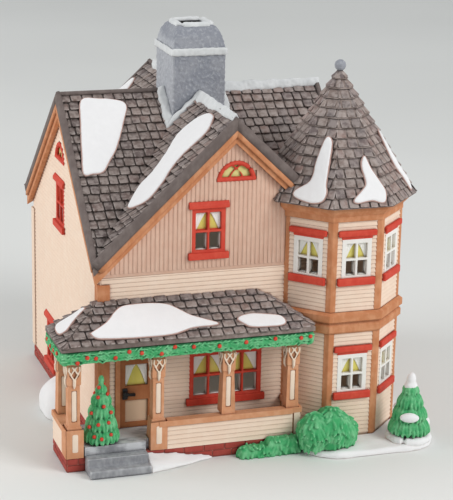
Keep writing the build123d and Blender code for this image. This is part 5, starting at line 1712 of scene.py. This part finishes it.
@dataclass
class Plants:
    """Trees, bushes, hedge and the snow on the ground."""

    tree_x: float = -68.6
    tree_y: float = -86.0
    tree_low: float = 12.0
    pine_x: float = 86.0
    pine_y: float = -101.0
    pine_low: float = 3.2
    foot_radius: float = 9.3
    foot_thick: float = 2.3

    def tiers(self, clay: Clay, centre: Vector, radius: float, height: float, tiers: int, seed: int) -> None:
        """Tiers of drooping boughs, each of three fingers, round a tapering core.

        Args:
            clay: Mesh that takes them.
            centre: Foot of the tree's axis.
            radius: Reach of the lowest boughs.
            height: Height of the tree.
            tiers: Count of tiers.
            seed: Start of the draws that vary them.
        """
        draw = random.Random(seed)
        core = [centre + UP * (height * s / 10) for s in range(11)]
        clay.bar(core, [radius * 0.62 * (1 - s / 10.6) + 0.3 for s in range(11)], around=14)
        tall = height / tiers
        for tier in range(tiers):
            share = tier / tiers
            reach = radius * (1 - share) ** 0.66
            long = min(tall * 0.66, reach * 0.5 + 1.2)
            count = max(4, round(2 * math.pi * reach / 6.2))
            for bough in range(count):
                turn = 2 * math.pi * (bough + 0.5 * (tier % 2) + draw.uniform(-0.12, 0.12)) / count
                out = Vector((math.cos(turn), math.sin(turn), 0))
                side = Vector((-out.y, out.x, 0))
                spread = min(1.5, reach * 0.3)
                for finger in (-1, 0, 1):
                    droop = (out * 0.5 - UP * 0.86 + side * (finger * 0.18)).normalized()
                    over = side.cross(droop).normalized()
                    back = reach - long * 0.5 - 0.7 - 0.5 * abs(finger)
                    spot = centre + out * back + side * (finger * spread)
                    spot += UP * (height * 0.01 + share * (height - 3.5) + long * draw.uniform(0.85, 0.95))
                    wide = min(1.3, reach * 0.28)
                    clay.blob(spot, (side * wide, over * (wide * 1.9), droop * long), rings=8, around=10)
        clay.blob(centre + UP * (height - 2.2), egg(1.5, 2.2))

    def porch_tree(self) -> None:
        """Tree on the porch with red balls."""
        clay, balls = Clay(), Clay()
        centre = Vector((self.tree_x, self.tree_y, self.tree_low))
        self.tiers(clay, centre, 9.2, 33.5, 5, 5)
        body = roughened(cast(clay.mesh(), voxel=0.34, smoothing=2), grain=1.6, depth=0.2)
        touch = touching(body)
        shown(body, "porch_tree_boughs", Finish.LEAF, ["porch_tree"])
        places = ((-1.2, 23.6), (3.0, 24.4), (-4.3, 15.8), (5.0, 16.2), (-0.8, 11.0), (4.0, 11.5),
                  (-5.2, 9.3), (-2.7, 5.0), (5.1, 5.6), (-1.0, 28.0), (1.6, 19.4), (0.9, 4.2))
        for ahead in (Vector((0.316, 0.949, 0)), Vector((-0.316, -0.949, 0))):
            for across, level in places:
                start = centre + ahead.cross(UP) * across + UP * level - ahead * CLEAR_OF_ALL
                balls.blob(touch(start, ahead) - ahead * 0.25, egg(0.95, 0.95), rings=7, around=10)
        shown(balls.mesh(), "porch_tree_balls", Finish.BERRY)

    def yard_pine(self) -> None:
        """Pine in the yard with snow on its top, its boughs and its foot."""
        clay, snow = Clay(), Clay()
        centre = Vector((self.pine_x, self.pine_y, self.pine_low))
        self.tiers(clay, centre + UP * 2.6, 10.9, 29.6, 4, 9)
        body = roughened(cast(clay.mesh(), voxel=0.36, smoothing=2), grain=1.6, depth=0.2)
        touch = touching(body)
        shown(body, "yard_pine_boughs", Finish.LEAF, ["yard_pine"])
        top = centre + UP * 29.4
        snow.blob(top, egg(2.4, 5.0), rings=8, around=14)
        snow.blob(top - UP * 2.2, (Vector((3.5, 0, 0)), Vector((0, 3.4, 0)), UP * 2.9), rings=8, around=14)
        patches = ((-2.0, 0.40, 5.0, 2.5), (-0.3, 0.24, 3.2, 3.0), (1.9, 0.45, 4.0, 2.2))
        for turn, share, wide, tall in patches:
            out = Vector((math.cos(turn), math.sin(turn), 0))
            side = Vector((-out.y, out.x, 0))
            spot = touch(centre + out * CLEAR_OF_ALL + UP * (2.0 + 28 * share), -out) - out * 0.3
            axes = (side * wide, (out * 0.5 - UP * 0.85) * tall, (out * 0.85 + UP * 0.5) * 1.9)
            snow.blob(spot, axes, rings=8, around=12)
        ring = [centre + Vector((self.foot_radius * math.cos(t), self.foot_radius * math.sin(t), 0.7))
                for t in turns(24)]
        ring += ring[:3]
        snow.bar(ring, [self.foot_thick] * len(ring), around=10)
        drift = roughened(cast(snow.mesh(), voxel=0.36, smoothing=3), grain=4.0, depth=0.4)
        shown(drift, "pine_snow_cover", Finish.SNOW, ["pine_snow"])

    def leafy(self, node: str, name: str, size: float, seed: int) -> None:
        """Cover a frame node with overlapping leaves in one casting.

        Args:
            node: Frame node.
            name: Name of the piece.
            size: Length of a leaf.
            seed: Start of the draws that place the leaves.
        """
        draw = random.Random(seed)
        source = from_node(node)
        clay = Clay()
        source.calc_loop_triangles()
        corners = [[source.vertices[i].co / MM for i in tri.vertices] for tri in source.loop_triangles]
        weights = [(b - a).cross(c - a).length for a, b, c in corners]
        total = sum(weights) / 2
        count = round(total / (size * size * 1.15))
        for a, b, c in draw.choices(corners, weights, k=count):
            u, v = sorted((draw.random(), draw.random()))
            spot = a * u + b * (v - u) + c * (1 - v)
            out = (b - a).cross(c - a).normalized()
            if out.z < -0.3:
                continue
            down = -UP + out * out.z if abs(out.z) < 0.98 else Vector((draw.uniform(-1, 1), -1, 0))
            down.normalize()
            side = down.cross(out).normalized()
            tip = (down + side * draw.uniform(-0.5, 0.5) + out * 0.25).normalized()
            wide = tip.cross(out).normalized()
            clay.blob(spot, (wide * size * 0.34, out * size * 0.3, tip * size * 0.95), rings=5, around=7)
        leaves = clay.mesh()
        work = bmesh.new()
        work.from_mesh(source)
        work.from_mesh(leaves)
        joined = bpy.data.meshes.new("joined")
        work.to_mesh(joined)
        work.free()
        shown(grounded(cast(joined, voxel=0.36, smoothing=1)), name, Finish.LEAF, [node])

    def ground(self) -> None:
        """Soft yard and heaps of snow."""
        for node in ("yard_snow", "snow_heaps"):
            body = grounded(roughened(cast(from_node(node), voxel=0.8, smoothing=8), grain=9.0, depth=0.9))
            shown(body, f"{node}_cover", Finish.SNOW, [node])

    def dress(self) -> None:
        """Make all the plants and the ground."""
        self.porch_tree()
        self.yard_pine()
        self.leafy("yard_bushes", "yard_bush_leaves", 2.6, 17)
        self.leafy("porch_hedge", "porch_hedge_leaves", 2.4, 19)
        self.ground()


@dataclass
class Shell:
    """Frame nodes that keep their own shape, with soft edges and paint."""

    def finishes(self) -> dict[str, Finish]:
        """Finish of each material slot."""
        return {
            "cream_siding": Finish.SIDING, "gable_boards": Finish.FRONT, "roof_shingle": Finish.SHINGLE,
            "trim_brown": Finish.TRIM, "window_red": Finish.RED, "sash_white": Finish.SASH,
            "chimney_grey": Finish.STUCCO, "snow_white": Finish.SNOW, "brick_red": Finish.MORTAR,
            "porch_grey": Finish.STONE, "evergreen": Finish.LEAF, "door_brown": Finish.DOOR,
            "door_curtain": Finish.GLOW, "lock_black": Finish.BLACK, "bare_bisque": Finish.BISQUE,
            "lamp_plastic": Finish.PLASTIC, "spring_steel": Finish.STEEL, "bulb_brass": Finish.BRASS,
            "bulb_glass": Finish.GLASS,
        }

    def special(self, name: str) -> Finish | None:
        """Finish of a node that differs from its slot's."""
        if name.startswith("porch_post") or name == "porch_rails":
            return Finish.POST
        return {"front_wall": Finish.FRONT, "corner_boards": Finish.CORNER}.get(name)

    def dress(self) -> None:
        """Paint every node and soften the edges of the trim."""
        finishes = self.finishes()
        for part in frame["record"]["subparts"]:
            name, slot = part["node"], part["material_slot"]
            node = frame["nodes"][name]
            finish = self.special(name) or finishes[slot]
            node.data.materials.clear()
            node.data.materials.append(finish.material())
            if slot in ("trim_brown", "window_red", "sash_white", "door_brown"):
                soften(node)
            LOG.info("node %s: %s", name, finish.value.name)


@dataclass
class Studio:
    """Floor, lights and camera."""

    camera: Sequence[float] = (-266.75, -864.91, 348.44)
    yaw: float = 0.3217
    pitch: float = 0.2903
    roll: float = 0.0217
    focal: float = 1797.16
    frame_high: float = 500.0
    sensor: float = 36.0
    aim: Sequence[float] = (0, 0, 0.08)
    sky_colour: Sequence[float] = (0.92, 0.94, 0.96, 1.0)
    sky_strength: float = 0.50
    room_power: float = 0.012

    def look(self) -> None:
        """Camera at the photograph's place."""
        ahead = Vector((math.sin(self.yaw) * math.cos(self.pitch), math.cos(self.yaw) * math.cos(self.pitch),
                        -math.sin(self.pitch)))
        right = Vector((math.cos(self.yaw), -math.sin(self.yaw), 0))
        up = right.cross(ahead)
        tilted_right = right * math.cos(self.roll) + up * math.sin(self.roll)
        tilted_up = up * math.cos(self.roll) - right * math.sin(self.roll)
        lens = bpy.data.cameras.new("camera")
        lens.sensor_width = self.sensor
        lens.lens = self.focal / self.frame_high * self.sensor
        lens.clip_start, lens.clip_end = 0.05, 30.0
        eye = bpy.data.objects.new("camera", lens)
        turn = Matrix((tilted_right, tilted_up, -ahead)).transposed().to_4x4()
        eye.matrix_world = Matrix.Translation(Vector(self.camera) * MM) @ turn
        bpy.context.scene.collection.objects.link(eye)
        bpy.context.scene.camera = eye

    def lamp(self, name: str, place: Sequence[float], size: float, power: float) -> None:
        """Soft square lamp, in metres and watts."""
        light = bpy.data.lights.new(name, "AREA")
        light.size = size
        light.energy = power
        holder = bpy.data.objects.new(name, light)
        holder.location = place
        holder.rotation_euler = (Vector(self.aim) - Vector(place)).to_track_quat("-Z", "Y").to_euler()
        bpy.context.scene.collection.objects.link(holder)

    def floor(self) -> None:
        """Plain pale floor."""
        mesh = bpy.data.meshes.new("floor")
        mesh.from_pydata([(x, y, 0) for x, y in box(-4, -3, 4, 6)], [], [(0, 1, 2, 3)])
        graph = Graph("floor_paper")
        clouds = graph.rise(graph.noise(400.0, detail=2.0), 0.3, 0.7)
        colour = graph.mix(clouds, (224, 225, 222), (229, 230, 227))
        mesh.materials.append(graph.finish(colour, graph.noise(1.0, detail=2.0), 0.01, {"Roughness": 0.9}))
        sheet = bpy.data.objects.new("floor", mesh)
        bpy.context.scene.collection.objects.link(sheet)

    def light(self) -> None:
        """Large soft lamps and an even sky."""
        self.lamp("key", (1.15, -1.35, 1.15), 1.0, 21.5)
        self.lamp("side", (-1.65, 0.3, 0.85), 1.0, 16.0)
        self.lamp("top", (0.1, 0.3, 1.9), 1.4, 3.0)
        glow = bpy.data.lights.new("room", "POINT")
        glow.energy = self.room_power
        glow.shadow_soft_size = 0.015
        room = bpy.data.objects.new("room", glow)
        room.location = (0, -0.02, 0.075)
        bpy.context.scene.collection.objects.link(room)
        world = bpy.data.worlds.new("sky")
        world.use_nodes = True
        back = world.node_tree.nodes["Background"]
        back.inputs["Color"].default_value = self.sky_colour
        back.inputs["Strength"].default_value = self.sky_strength
        bpy.context.scene.world = world

    def dress(self) -> None:
        """Set up the studio."""
        self.look()
        self.floor()
        self.light()
        bpy.context.scene.view_settings.view_transform = "Standard"


def main() -> None:
    """Build the studio and every sub-assembly in order."""
    logging.basicConfig(level=logging.INFO, format="%(message)s")
    Studio().dress()
    Shell().dress()
    tower = Tower()
    MainRoof().dress(tower)
    tower.dress()
    windows = Windows()
    windows.dress(tower)
    Siding().dress(tower, windows)
    Porch().dress(tower)
    Plants().dress()


if __name__ == "__main__":
    main()
